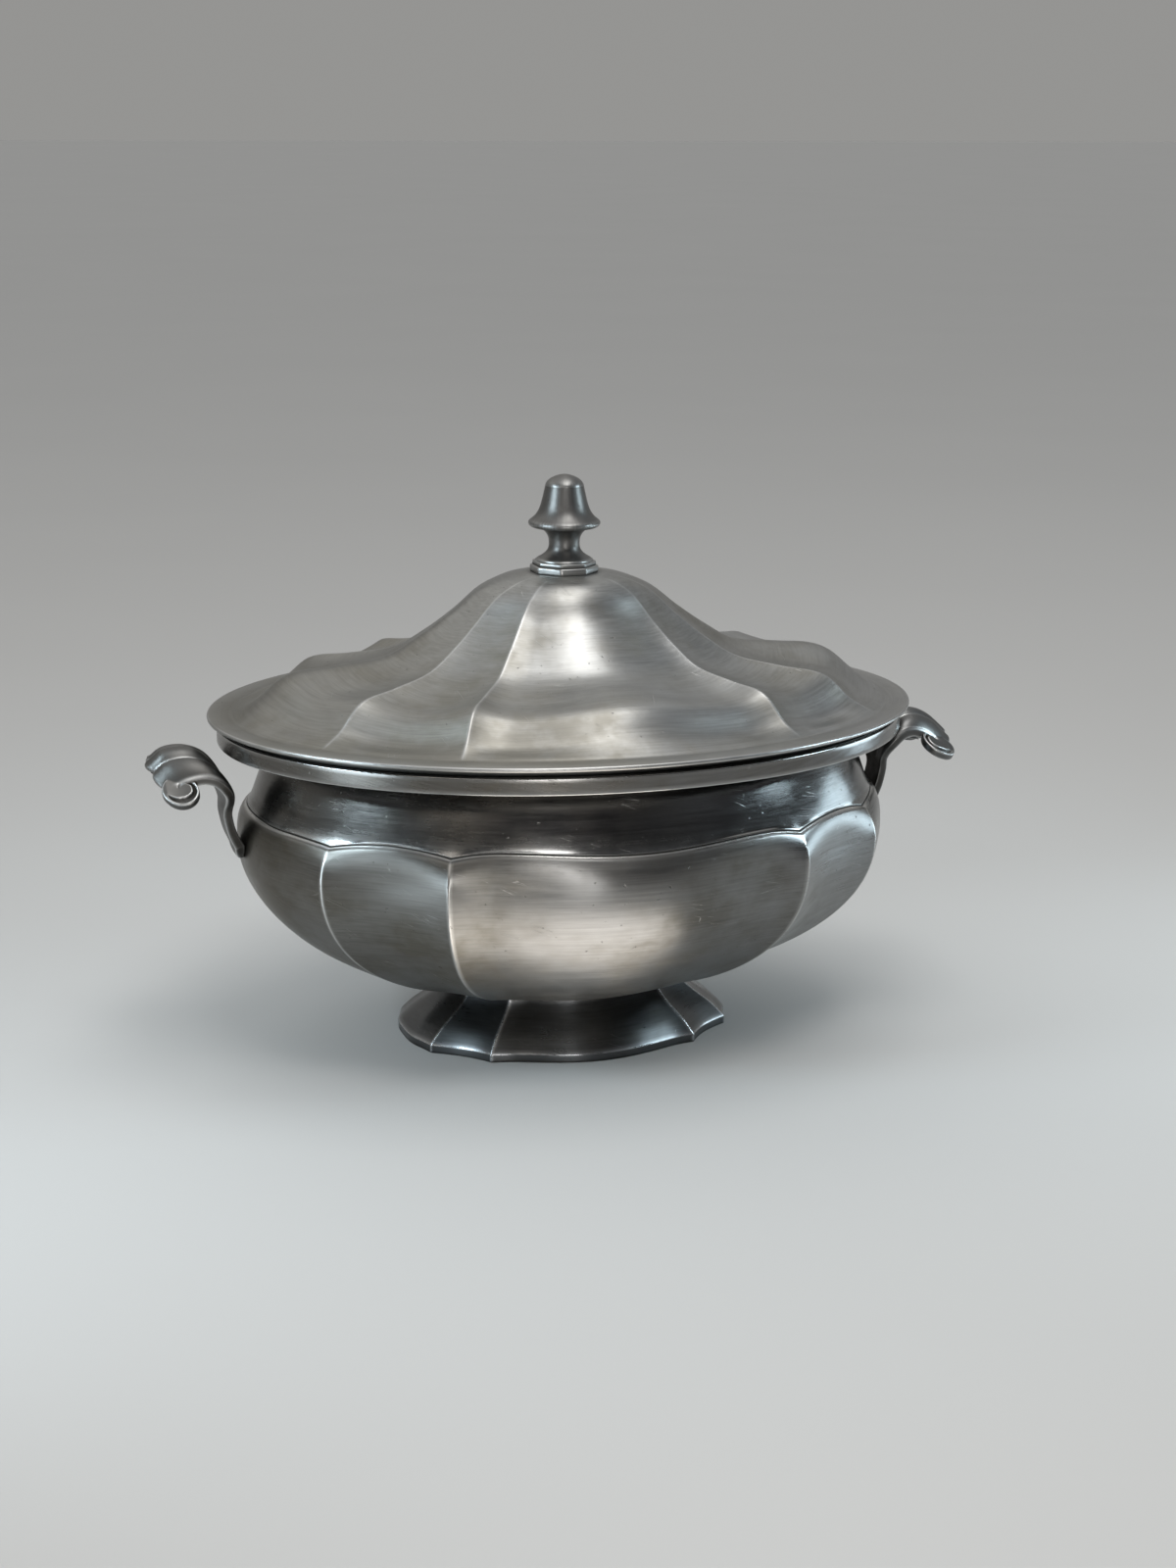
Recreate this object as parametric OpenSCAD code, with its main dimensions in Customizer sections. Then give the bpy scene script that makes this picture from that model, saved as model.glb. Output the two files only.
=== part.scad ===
// Oval footed soup tureen with an eight-panelled bowl, a lift-off lid and two shell handles.
// Millimetres, +Z up, long axis along X. The foot stands on z = 0 with its centre at the origin.

/* [Plan of the panels] */
// Width of every panelled ring as a share of its length
plan_aspect = 0.757; // [0.70:0.005:0.85]
// Ellipse angle of the ridges beside the front panel, at the foot rim
ridge_front_foot = 52.5; // [48:0.5:58]
// Ellipse angle of the ridges beside the front panel, at the bowl shoulder
ridge_front_bowl = 57.5; // [52:0.5:62]
// Ellipse angle of the ridges beside the front panel, at the lid flange
ridge_front_lid = 60; // [55:0.5:64]
// Ellipse angle of the ridges beside the end panels, at the foot rim
ridge_end_foot = 27; // [22:0.5:32]
// Ellipse angle of the ridges beside the end panels, at the bowl shoulder
ridge_end_bowl = 33; // [28:0.5:38]
// Ellipse angle of the ridges beside the end panels, at the lid flange
ridge_end_lid = 33.5; // [28:0.5:38]
// Facets across half a wide panel and across a narrow panel
facets = 8; // [4:1:10]

/* [Foot] */
// Height of the foot
foot_h = 24; // [20:1:32]
// Length of the foot at its rim
foot_len = 148; // [120:1:170]
// Length of the foot where it meets the bowl
foot_waist_len = 104; // [84:1:110]
// Height of the upright edge of the foot rim
foot_edge_h = 3.6; // [2:0.2:6]
// Wall of the foot
foot_wall = 3; // [2:0.2:5]
// Depth of the hollow panels at the foot rim
foot_hollow = 3.4; // [1:0.2:5]

/* [Bowl] */
// Height of the bowl up to the lowest points of its scalloped edge
bowl_h = 78; // [70:1:94]
// Length of the bowl across its widest ring
bowl_len = 287; // [250:1:310]
// Length of the bowl across its scalloped top edge
bowl_top_len = 275; // [244:1:280]
// Length of the flat underside of the bowl
bowl_floor_len = 112; // [104:1:130]
// Height of the widest ring over the underside of the bowl
bowl_belly_h = 64; // [52:1:68]
// Wall of the bowl
bowl_wall = 2.6; // [1.6:0.2:4]
// Depth of the hollow panels at the widest ring
bowl_hollow = 6; // [2:0.2:9]
// Depth of the hollow panels at the top edge
edge_hollow = 2; // [0.6:0.2:3]
// Rise of the scallops in the top edge
scallop_rise = 3; // [0:0.2:4]

/* [Neck] */
// Height of the neck from the scallop points to the underside of the rim
neck_h = 34; // [28:1:44]
// Length of the neck under the rim
neck_len = 243; // [230:1:248]
// Width of the neck under the rim
neck_w = 178; // [166:1:184]
// Flare of the neck on each side, from the rim down to its foot line
neck_flare = 13; // [8:0.5:14]
// Height of the sloping ledge between the scallops and the neck
ledge_h = 4; // [3.4:0.2:6]
// Wall of the neck
neck_wall = 2.4; // [1.6:0.2:3.4]

/* [Rim] */
// Length over the rim band
rim_len = 294; // [284:1:300]
// Width over the rim band
rim_w = 231; // [222:1:236]
// Height of the rim band
band_h = 7; // [5:0.5:10]
// Thickness of the rim band
band_t = 2.6; // [1.6:0.2:4]
// Thickness of the flat rim plate
rim_t = 2; // [1.4:0.2:3.4]

/* [Lid] */
// Length over the lid flange
flange_len = 302; // [296:1:320]
// Width over the lid flange
flange_w = 236; // [232:1:250]
// Thickness of the lid flange
flange_t = 1.8; // [1.2:0.2:3]
// Height of the gap between the rim and the lid flange
lid_gap = 2.8; // [1:0.2:5]
// Length of the lid dome where its ridges meet the flange
dome_len = 282; // [278:1:286]
// Height of the dome over the flange
dome_h = 55.6; // [46:0.2:70]
// Wall of the lid dome
lid_wall = 2.2; // [1.6:0.2:3]
// Depth of the hollow panels on the dome
lid_hollow = 4.5; // [1:0.2:6]
// Length of the flat crown that carries the knob
crown_len = 33; // [32:1:40]

/* [Lid bezel] */
// Inset of the seat ring from the edge of the lid flange
seat_inset = 6; // [4:0.5:8]
// Depth of the locating skirt below the rim
skirt_h = 7; // [4:0.5:12]
// Thickness of the locating skirt
skirt_t = 2; // [1.4:0.2:3]

/* [Knob] */
// Height of the knob over its base plate
knob_h = 36; // [28:0.2:46]
// Diameter of the flared lip of the knob
knob_lip_d = 30.2; // [27:0.2:38]
// Thickness of the rounded lip of the knob
lip_h = 3.6; // [2.4:0.2:4.4]
// Diameter of the bell just above the lip
bell_d = 22.6; // [18:0.2:25]
// Diameter of the dome at its shoulder
knob_dome_d = 16.2; // [12:0.2:18]
// Diameter of the waist of the knob
knob_waist_d = 12.9; // [11:0.2:16]
// Diameter of the foot of the knob
knob_foot_d = 24.2; // [20:0.2:24.6]
// Width across the flats of the lower step of the base plate
plate_w = 27; // [26:0.2:29]
// Width across the flats of the upper step of the base plate
plate_top_w = 25; // [24.8:0.2:26]
// Height of the lower step of the base plate
plate_step = 3; // [1:0.1:4]
// Height of the upper step of the base plate
plate_top_step = 1.8; // [1:0.1:3]
// Diameter of the stud that holds the knob
stud_d = 5; // [4:0.2:6]
// Depth that the stud enters the knob
stud_depth = 15; // [10:1:20]
// Width across the flats of the nut
nut_w = 8.6; // [8:0.2:10]
// Thickness of the nut
nut_t = 4; // [3:0.2:5]
// Diameter of the washer
washer_d = 14; // [12:0.2:18]
// Thickness of the washer
washer_t = 1.2; // [0.8:0.1:2]

/* [Handles] */
// Reach of a handle beyond the end of the bowl
handle_reach = 36.2; // [32:0.2:42]
// Rise of a handle over the scallop points
handle_rise = 27; // [22:0.5:30]
// Length of the tongue soldered to the bowl
tongue_h = 7; // [5:0.5:10]
// Drop of the tongue's tip below the scallop points
tongue_drop = 17.5; // [16:0.5:22]
// Width of the tongue at its tip
tip_w = 8; // [6:0.5:10]
// Width of the strap
strap_w = 15.5; // [12:0.5:18]
// Width of the ribbed part of the shell grip
shell_w = 32; // [28:0.5:38]
// Thickness of the strap
strap_t = 4.4; // [2.4:0.2:5]
// Number of ribs on the shell grip
ribs = 3; // [3:2:7]
// Height of the ribs on the shell grip
rib_h = 2; // [0.6:0.2:2.4]
// Reach of the rounded rib ends
lobe_reach = 2.5; // [1:0.5:4]
// Sag of the sides of the shell grip
shell_sag = 5; // [3.5:0.5:7]
// Set-back of the sides of the shell grip
shell_back = 5; // [3:0.5:7]
// Diameter of the side volutes
volute_d = 16.5; // [14:0.5:18]
// Thickness of the side volutes
volute_t = 3.4; // [2.4:0.2:4]
// Height of the raised eye of the side volutes
volute_boss = 1; // [0.6:0.1:1.6]
// Tilt of the side volutes to the front and the back
volute_tilt = 28; // [10:1:32]
// Dip of the side volutes to the end
volute_dip = 13; // [5:1:18]
// Set-back of the volute centres from the outer edge of the shell
volute_in = 8.5; // [7:0.5:10]
// Reach of the volute centres beyond the sides of the shell
volute_out = 3; // [1:0.5:4]
// Height of the volutes against the outer edge of the shell
volute_up = -2.5; // [-5:0.5:-1]

/* [Fits] */
// Gap of a soldered seam between curved faces
seam_fit = 0.15; // [0.1:0.05:0.3]
// Gap between the rim and the seat ring of the lid
seat_fit = 0.1; // [0:0.05:0.3]
// Gap between the locating skirt and the mouth
skirt_fit = 1; // [0.4:0.1:2]
// Gap between the stud and its bores
stud_fit = 0.15; // [0.1:0.05:0.3]

/* [Hidden] */
$fn = 96;

// levels
bowl_z = foot_h;
belly_z = bowl_z + bowl_belly_h;
edge_z = bowl_z + bowl_h;
rim_z = edge_z + neck_h;
rim_top_z = rim_z + rim_t;
flange_z = rim_top_z + lid_gap;
dome_z = flange_z + flange_t;
crown_z = dome_z + dome_h;
plate_top_z = crown_z + plate_step + plate_top_step;
knob_top_z = plate_top_z + knob_h;

// half sizes in plan
mouth_a = neck_len / 2 - neck_wall;
mouth_b = neck_w / 2 - neck_wall;
skirt_a = mouth_a - skirt_fit;
skirt_b = mouth_b - skirt_fit;
flange_a = max(flange_len / 2, dome_len / 2 + seat_inset);
flange_b = max(flange_w / 2, dome_len / 2 * plan_aspect + seat_inset);
seat_a = flange_a - seat_inset;
seat_b = flange_b - seat_inset;

// shares of the panel depth: hollow flanks and swelling middles of the wide panels
flank_front = 0.75;
flank_end = 0.48;
middle_front = 0.1;
middle_end = 0.75;
lid_middle_front = -0.1;
lid_middle_end = -0.5;
flank_at_front = 0.74;
flank_at_end = 0.6;

// columns of points around a ring: end panel, narrow panel, front panel, in each quarter
quarter = 3 * facets;
columns = 4 * quarter;

function mix(p, q, t) = p + (q - p) * t;
function smooth(t) = let (c = min(1, max(0, t))) c * c * (3 - 2 * c);

// smooth line through the values of a list, for t from 0 to 1
function spline(v, t) = let (n = len(v) - 1, s = min(n - 1, floor(t * n)), u = t * n - s,
    p0 = v[max(0, s - 1)], p1 = v[s], p2 = v[s + 1], p3 = v[min(n, s + 2)])
    0.5 * (2 * p1 + (p2 - p0) * u + (2 * p0 - 5 * p1 + 4 * p2 - p3) * u * u
        + (3 * p1 - p0 - 3 * p2 + p3) * u * u * u);

// hollow of half a wide panel, from its middle at u = 0 to its ridge at u = 1
function wide_hollow(u, middle, flank, at) =
    u < at ? mix(middle, flank, (1 - cos(180 * u / at)) / 2)
           : flank * (1 - pow((u - at) / (1 - at), 2));

// hollow and ellipse angle of column c, for ridges at angles rf (front) and re (end)
function fold(c) = let (q = floor(c / quarter) % 4, k = c % quarter)
    q % 2 == 0 ? [q, k] : [q, quarter - k];
function column_u(k) = k <= facets ? k / facets
    : k <= 2 * facets ? 2 * (k - facets) / facets - 1 : (3 * facets - k) / facets;
function column_hollow(k, middle) =
    k <= facets ? wide_hollow(column_u(k), middle[1], flank_end, flank_at_end)
    : k <= 2 * facets ? 1 - pow(column_u(k), 2)
    : wide_hollow(column_u(k), middle[0], flank_front, flank_at_front);
function first_angle(k, rf, re) =
    k <= facets ? re * k / facets
    : k <= 2 * facets ? mix(re, rf, (k - facets) / facets)
    : mix(rf, 90, (k - 2 * facets) / facets);
function column_angle(c, rf, re) = let (f = fold(c), a = first_angle(f[1], rf, re))
    f[0] == 0 ? a : f[0] == 1 ? 180 - a : f[0] == 2 ? 180 + a : 360 - a;

// one ring: half-length a, half-width b, height z, panel depth, lift with the hollow, ridge angles
function ring(a, b, z, depth, lift, rf, re, middle = [middle_front, middle_end]) = [
    for (c = [0 : columns - 1])
        let (g = column_hollow(fold(c)[1], middle), t = column_angle(c, rf, re))
            [(a - depth * g) * cos(t), (b - depth * g) * sin(t), z + lift * g]];

// faces between rings of n points; the first and last ring are capped, or the loop is closed
function skin_faces(n, rows, closed) = concat(
    [for (r = [0 : rows - (closed ? 1 : 2)], c = [0 : n - 1])
        let (s = (r + 1) % rows, d = (c + 1) % n)
            each [[r * n + c, s * n + c, s * n + d], [r * n + c, s * n + d, r * n + d]]],
    closed ? [] : [[for (c = [0 : n - 1]) c], [for (c = [n - 1 : -1 : 0]) (rows - 1) * n + c]]);

module skin(rings, closed) {
    polyhedron(
        points = [for (r = rings) each r],
        faces = skin_faces(len(rings[0]), len(rings), closed),
        convexity = 8);
}

// ridge angles of a bowl or foot ring by its half-length
function ridge_f(a) = mix(ridge_front_foot, ridge_front_bowl,
    (2 * a - foot_len) / (bowl_top_len - foot_len));
function ridge_e(a) = mix(ridge_end_foot, ridge_end_bowl,
    (2 * a - foot_len) / (bowl_top_len - foot_len));
function panel_ring(a, inset, z, depth, lift) =
    ring(a - inset, a * plan_aspect - inset, z, depth, lift, ridge_f(a), ridge_e(a));

// plain oval ring on the bowl's own columns
function oval_ring(a, b, z) =
    ring(a, b, z, 0, 0, ridge_f(bowl_top_len / 2), ridge_e(bowl_top_len / 2));

module oval(a, b) {
    polygon([for (i = [0 : columns - 1]) [a * cos(360 * i / columns), b * sin(360 * i / columns)]]);
}

module oval_band(a, b, wall, h) {
    linear_extrude(h) difference() {
        oval(a, b);
        oval(a - wall, b - wall);
    }
}

// foot: upright edge, then a flare with hollow panels up to the waist
foot_rows = 6;
function foot_half(t) = mix(foot_len / 2, foot_waist_len / 2, sin(90 * t));
function foot_level(t) = mix(foot_edge_h, foot_h, pow(t, 0.75));
function foot_depth(a) = foot_hollow * 2 * a / foot_len;
function foot_ring(t, inset) = let (a = foot_half(t))
    panel_ring(a, inset, foot_level(t), foot_depth(a), 0);

module foot() {
    color("gray") skin(concat(
        [panel_ring(foot_len / 2, 0, 0, foot_hollow, 0)],
        [for (i = [0 : foot_rows]) foot_ring(i / foot_rows, 0)],
        [for (i = [foot_rows : -2 : 0]) foot_ring(i / foot_rows, foot_wall)],
        [panel_ring(foot_len / 2, foot_wall, 0, foot_hollow, 0)]), true);
}

// bowl profile: an open curve from the flat underside to the belly, then a slight draw-in to the edge
belly_rows = 8;
edge_rows = 3;
function bowl_half(z) = z <= belly_z
    ? let (h = (belly_z - z) / bowl_belly_h)
        bowl_floor_len / 2 + (bowl_len - bowl_floor_len) / 2 * pow(max(0, 1 - h * h), 0.714)
    : mix(bowl_len / 2, bowl_top_len / 2, pow((z - belly_z) / (edge_z - belly_z), 2));
function bowl_depth(z) = z <= belly_z
    ? bowl_hollow * bowl_half(z) / (bowl_len / 2)
    : mix(bowl_hollow, edge_hollow, smooth((z - belly_z) / (edge_z - belly_z)));
function bowl_lift(z) = z <= belly_z ? 0 : scallop_rise * smooth((z - belly_z) / (edge_z - belly_z));
function bowl_ring(z, inset) = panel_ring(bowl_half(z), inset, z, bowl_depth(z), bowl_lift(z));
function belly_level(i) = belly_z - bowl_belly_h * cos(90 * i / belly_rows);

module lobed_bowl() {
    floor_ring = panel_ring(bowl_half(bowl_z), bowl_wall, bowl_z + bowl_wall, bowl_depth(bowl_z), 0);
    color("silver") skin(concat(
        [for (i = [0 : belly_rows]) bowl_ring(belly_level(i), 0)],
        [for (i = [1 : edge_rows]) bowl_ring(mix(belly_z, edge_z, i / edge_rows), 0)],
        [for (i = [edge_rows : -1 : 1]) bowl_ring(mix(belly_z, edge_z, i / edge_rows), bowl_wall)],
        [for (i = [belly_rows : -2 : 2]) bowl_ring(belly_level(i) + bowl_wall * cos(90 * i / belly_rows),
            bowl_wall)],
        [floor_ring]), false);
}

// neck: scalloped foot on the bowl's edge, a ledge, then a sloping wall that narrows to the rim
neck_rows = 5;
function neck_a(t) = neck_len / 2 + neck_flare * pow(1 - t, 1.1);
function neck_b(t) = neck_w / 2 + neck_flare * pow(1 - t, 1.1);
function neck_level(t) = mix(edge_z + ledge_h, rim_z, t);
function neck_ring(t, inset) = oval_ring(neck_a(t) - inset, neck_b(t) - inset, neck_level(t));
function neck_foot(inset) = let (a = bowl_top_len / 2)
    ring(a - inset, a * plan_aspect - inset, edge_z + seam_fit, edge_hollow, scallop_rise,
        ridge_f(a), ridge_e(a));

module neck_collar() {
    color("lightsteelblue") skin(concat(
        [neck_foot(0.4)],
        [for (i = [0 : neck_rows]) neck_ring(i / neck_rows, 0)],
        [for (i = [neck_rows : -1 : 0]) neck_ring(i / neck_rows, neck_wall)],
        [neck_foot(bowl_wall)]), true);
}

// rim: a flat plate around the mouth with an upright band at its edge
module rim_band() {
    color("dimgray") union() {
        translate([0, 0, rim_z]) linear_extrude(rim_t) difference() {
            oval(rim_len / 2, rim_w / 2);
            oval(mouth_a, mouth_b);
        }
        translate([0, 0, rim_top_z - band_h]) oval_band(rim_len / 2, rim_w / 2, band_t, band_h);
    }
}

// lid dome: shoulder, waist and crown, as shares of the run and the climb to the flat crown
dome_run = [0, 0.09, 0.195, 0.35, 0.515, 0.63, 0.73, 0.825, 0.91, 0.97, 1];
dome_climb = [0, 0.10, 0.275, 0.325, 0.39, 0.53, 0.69, 0.865, 0.955, 0.985, 1];
dome_rows = 16;
function dome_share(i) = spline(dome_run, i / dome_rows);
function dome_half(i) = mix(dome_len / 2, crown_len / 2, dome_share(i));
function dome_level(i) = dome_z + dome_h * spline(dome_climb, i / dome_rows);
function dome_b(i) = dome_half(i) * mix(plan_aspect, 1, smooth((dome_share(i) - 0.75) / 0.25));
function dome_fade(i) = smooth(dome_share(i) / 0.1) * (1 - smooth((dome_share(i) - 0.6) / 0.32));
function dome_depth(i) = lid_hollow * dome_fade(i);
function dome_tilt(i) = let (j = min(dome_rows, i + 1), k = max(0, i - 1))
    atan2(dome_level(j) - dome_level(k), dome_half(k) - dome_half(j));
function dome_ridge_f(i) = mix(ridge_front_lid, ridge_front_foot, dome_share(i));
function dome_ridge_e(i) = mix(ridge_end_lid, ridge_end_foot, dome_share(i));
function dome_ring(i, inset) = let (s = sin(dome_tilt(i)), d = dome_depth(i))
    ring(dome_half(i) - inset * s, dome_b(i) - inset * s, dome_level(i) - inset * cos(dome_tilt(i)),
        d * s, -d * cos(dome_tilt(i)), dome_ridge_f(i), dome_ridge_e(i), [lid_middle_front, lid_middle_end]);
function flange_ring(a, b, z) = ring(a, b, z, 0, 0, ridge_front_lid, ridge_end_lid);
function crown_ring(z) = ring(crown_len / 2, crown_len / 2, z, 0, 0, dome_ridge_f(dome_rows),
    dome_ridge_e(dome_rows));
flange_in = 1.6;

module lid() {
    color("gainsboro") difference() {
        skin(concat(
            [crown_ring(crown_z - lid_wall)],
            [for (i = [dome_rows - 2 : -2 : 2]) dome_ring(i, lid_wall)],
            [flange_ring(dome_len / 2 - flange_in, dome_len / 2 * plan_aspect - flange_in, flange_z)],
            [flange_ring(flange_a, flange_b, flange_z)],
            [flange_ring(flange_a, flange_b, dome_z)],
            [flange_ring(dome_len / 2 + flange_in, dome_len / 2 * plan_aspect + flange_in, dome_z)],
            [for (i = [0 : dome_rows - 1]) dome_ring(i, 0)],
            [crown_ring(crown_z)]), false);
        translate([0, 0, crown_z - 2 * lid_wall]) cylinder(d = stud_d + 2 * stud_fit, h = 4 * lid_wall);
    }
}

// bezel: a seat ring that lifts the flange off the rim, and a skirt that drops into the mouth
module lid_bezel() {
    color("slategray") union() {
        translate([0, 0, rim_top_z + seat_fit]) linear_extrude(lid_gap - seat_fit) difference() {
            oval(seat_a, seat_b);
            oval(skirt_a - skirt_t, skirt_b - skirt_t);
        }
        translate([0, 0, rim_top_z - skirt_h]) oval_band(skirt_a, skirt_b, skirt_t, skirt_h + seat_fit);
    }
}

// knob: stepped eight-sided plate, waisted stem and bell, held by a stud from inside the lid
module plate_outline(w) {
    rotate(22.5) circle(d = w / cos(22.5), $fn = 8);
}

module finial_base() {
    color("darkgray") difference() {
        union() {
            translate([0, 0, crown_z]) linear_extrude(plate_step) plate_outline(plate_w);
            translate([0, 0, crown_z + plate_step]) linear_extrude(plate_top_step)
                plate_outline(plate_top_w);
        }
        translate([0, 0, crown_z - plate_step])
            cylinder(d = stud_d + 2 * stud_fit, h = 3 * plate_step + plate_top_step);
    }
}

// knob profile, closed on the axis: levels as shares of the knob height
waist_z = 0.195 * knob_h;
lip_z = 0.387 * knob_h;
shoulder_z = 0.86 * knob_h;
under_d = 0.64 * knob_lip_d;
nose = 2.5;
stem_steps = 8;
function stem_r(t) = knob_waist_d / 2 + (knob_foot_d - knob_waist_d) / 2 * pow(1 - t, 2.5);
function under_r(t) = mix(knob_waist_d, under_d, pow(t, 2.6)) / 2;
function lip_point(t) = [knob_lip_d / 2 - nose * (1 - cos(t)), lip_z + lip_h / 2 * (1 + sin(t))];
lip_turn = 42;
lip_top = lip_point(lip_turn);
function bell_r(t) = mix(bell_d, knob_dome_d, t) / 2 + (lip_top[0] - bell_d / 2) * pow(1 - t, 5.5);
function bell_point(t) = [bell_r(t), mix(lip_top[1], shoulder_z, t)];
function cap_point(t) = [knob_dome_d / 2 * pow(cos(t), 1.25), mix(shoulder_z, knob_h, sin(t))];

module finial_knob() {
    profile = concat(
        [[0, 0], [knob_foot_d / 2, 0]],
        [for (i = [0 : stem_steps]) [stem_r(i / stem_steps), mix(0.6, waist_z, i / stem_steps)]],
        [for (i = [1 : stem_steps]) [under_r(i / stem_steps), mix(waist_z, lip_z - 0.6, i / stem_steps)]],
        [for (i = [0 : stem_steps]) lip_point(mix(-80, lip_turn, i / stem_steps))],
        [for (i = [1 : 2 * stem_steps]) bell_point(i / stem_steps / 2)],
        [for (i = [1 : stem_steps - 1]) cap_point(90 * i / stem_steps)],
        [[0, knob_h]]);
    color("whitesmoke") translate([0, 0, plate_top_z]) difference() {
        rotate_extrude() polygon(profile);
        translate([0, 0, -stud_depth]) cylinder(d = stud_d + 2 * stud_fit, h = 2 * stud_depth);
    }
}

nut_z = crown_z - lid_wall - washer_t - nut_t;
stud_bottom_z = nut_z - 1;

module finial_stud() {
    color("goldenrod") translate([0, 0, stud_bottom_z])
        cylinder(d = stud_d, h = plate_top_z + stud_depth - stud_fit - stud_bottom_z);
}

module finial_washer() {
    color("peru") translate([0, 0, crown_z - lid_wall - washer_t]) difference() {
        cylinder(d = washer_d, h = washer_t);
        translate([0, 0, -washer_t]) cylinder(d = stud_d + 2 * stud_fit, h = 3 * washer_t);
    }
}

module finial_nut() {
    color("sandybrown") translate([0, 0, nut_z]) difference() {
        cylinder(d = nut_w / cos(30), h = nut_t, $fn = 6);
        translate([0, 0, -nut_t]) cylinder(d = stud_d + 2 * stud_fit, h = 3 * nut_t);
    }
}

// handle: a strap from a tongue on the end panel, over an arch into a ribbed shell with side volutes
tongue_rows = 4;
arch_rows = 16;
strap_columns = 18;
function end_x(z) = bowl_half(z) - bowl_depth(z) * middle_end;
tip_z = edge_z - tongue_drop;
free_z = tip_z + tongue_h;
function tongue_point(t) = let (z = mix(tip_z, free_z, t)) [end_x(z) + seam_fit, z];
// the face of the strap towards the bowl, which becomes the top of the arch: shares of reach and rise
arch_x = [0, 0.085, 0.13, 0.155, 0.25, 0.42, 0.61, 0.82, 1];
arch_z = [0, 0.16, 0.33, 0.54, 0.75, 0.94, 1, 0.95, 0.81];
arch_start = tongue_point(1);
arch_h = edge_z + handle_rise - free_z;
// the strap stays outside the bowl and the neck, whatever their lengths
function neck_x(z) = neck_a(min(1, max(0, (z - edge_z - ledge_h) / (rim_z - edge_z - ledge_h))));
function outline_x(z) = z <= edge_z ? end_x(z)
    : max(neck_x(z), z > edge_z + scallop_rise + ledge_h ? 0 : end_x(edge_z));
function arch_point(t) = let (p = arch_start + [handle_reach * spline(arch_x, t), arch_h * spline(arch_z, t)])
    [max(p[0], outline_x(p[1]) + seam_fit), p[1]];
handle_line = concat(
    [for (i = [0 : tongue_rows - 1]) tongue_point(i / tongue_rows)],
    [for (i = [0 : arch_rows]) arch_point(i / arch_rows)]);
handle_rows = len(handle_line);
function line_dir(i) = let (d = handle_line[min(handle_rows - 1, i + 1)] - handle_line[max(0, i - 1)])
    d / norm(d);
function shell_open(i) = smooth((i / (handle_rows - 1) - 0.45) / 0.25);
function half_width(i) = i < tongue_rows
    ? mix(tip_w, strap_w, smooth(i / tongue_rows)) / 2
    : mix(strap_w, shell_w, shell_open(i)) / 2;
function shell_lobe(i, v) = shell_open(i) * abs(sin(90 * ribs * (v + 1)));
function strap_point(i, v, out) = let (d = line_dir(i), p = handle_line[i], lobe = shell_lobe(i, v),
    h = out ? strap_t : -rib_h * lobe, e = lobe_reach * lobe * pow(shell_open(i), 3),
    k = shell_open(i) * v * v)
    [p[0] + d[1] * h + d[0] * e - shell_back * k,
        half_width(i) * v,
        p[1] - d[0] * h + d[1] * e - shell_sag * k];
function strap_section(i) = concat(
    [for (k = [0 : strap_columns]) strap_point(i, mix(-1, 1, k / strap_columns), true)],
    [for (k = [strap_columns : -1 : 0]) strap_point(i, mix(-1, 1, k / strap_columns), false)]);
strap_n = 2 * (strap_columns + 1);
function strap_cap(first, flip) = [for (k = [0 : strap_columns - 1])
    let (o = first + k, i = first + strap_n - 1 - k)
        each flip ? [[o + 1, o, i], [o + 1, i, i - 1]] : [[o, o + 1, i], [i, o + 1, i - 1]]];
function strap_sides() = [for (r = [0 : handle_rows - 2], c = [0 : strap_n - 1])
    let (p = r * strap_n, q = p + strap_n, d = (c + 1) % strap_n)
        each [[p + c, q + c, q + d], [p + c, q + d, p + d]]];
shell_end = handle_line[handle_rows - 1];

module strap() {
    polyhedron(
        points = [for (i = [0 : handle_rows - 1]) each strap_section(i)],
        faces = concat(strap_cap(0, false), strap_sides(), strap_cap((handle_rows - 1) * strap_n, true)),
        convexity = 8);
}

module volute(side) {
    translate([shell_end[0] - volute_in, side * (shell_w / 2 + volute_out), shell_end[1] + volute_up])
        rotate([-side * volute_tilt, volute_dip, 0]) {
            translate([0, 0, -volute_t]) cylinder(d = volute_d, h = volute_t);
            cylinder(d = volute_d - 2 * volute_t, h = volute_boss);
        }
}

module handle() {
    strap();
    volute(-1);
    volute(1);
}

module right_handle() {
    color("lightgray") handle();
}

module left_handle() {
    color("lightgray") mirror([1, 0, 0]) handle();
}

foot();
lobed_bowl();
neck_collar();
rim_band();
left_handle();
right_handle();
lid();
lid_bezel();
finial_base();
finial_knob();
finial_stud();
finial_washer();
finial_nut();
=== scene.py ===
from functools import partial
from math import atan2, cos, exp, hypot, pi, radians, sin, sqrt, tan

import bpy
from mathutils import Matrix, Vector
from mathutils.kdtree import KDTree


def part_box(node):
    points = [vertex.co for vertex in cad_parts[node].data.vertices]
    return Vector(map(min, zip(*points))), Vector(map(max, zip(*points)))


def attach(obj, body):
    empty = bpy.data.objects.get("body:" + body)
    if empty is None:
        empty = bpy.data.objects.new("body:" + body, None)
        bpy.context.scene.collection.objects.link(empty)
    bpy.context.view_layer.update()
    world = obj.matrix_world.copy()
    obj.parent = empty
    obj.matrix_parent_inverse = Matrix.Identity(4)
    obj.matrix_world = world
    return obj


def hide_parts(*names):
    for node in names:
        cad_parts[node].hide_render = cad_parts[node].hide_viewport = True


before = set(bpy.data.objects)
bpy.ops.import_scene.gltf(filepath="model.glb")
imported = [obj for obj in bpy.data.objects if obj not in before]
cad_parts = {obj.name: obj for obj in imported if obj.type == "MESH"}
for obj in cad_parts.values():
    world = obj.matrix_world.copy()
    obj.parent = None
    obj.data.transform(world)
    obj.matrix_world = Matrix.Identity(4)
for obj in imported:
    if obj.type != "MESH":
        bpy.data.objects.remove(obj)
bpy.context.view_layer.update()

mm = 0.001
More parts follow.
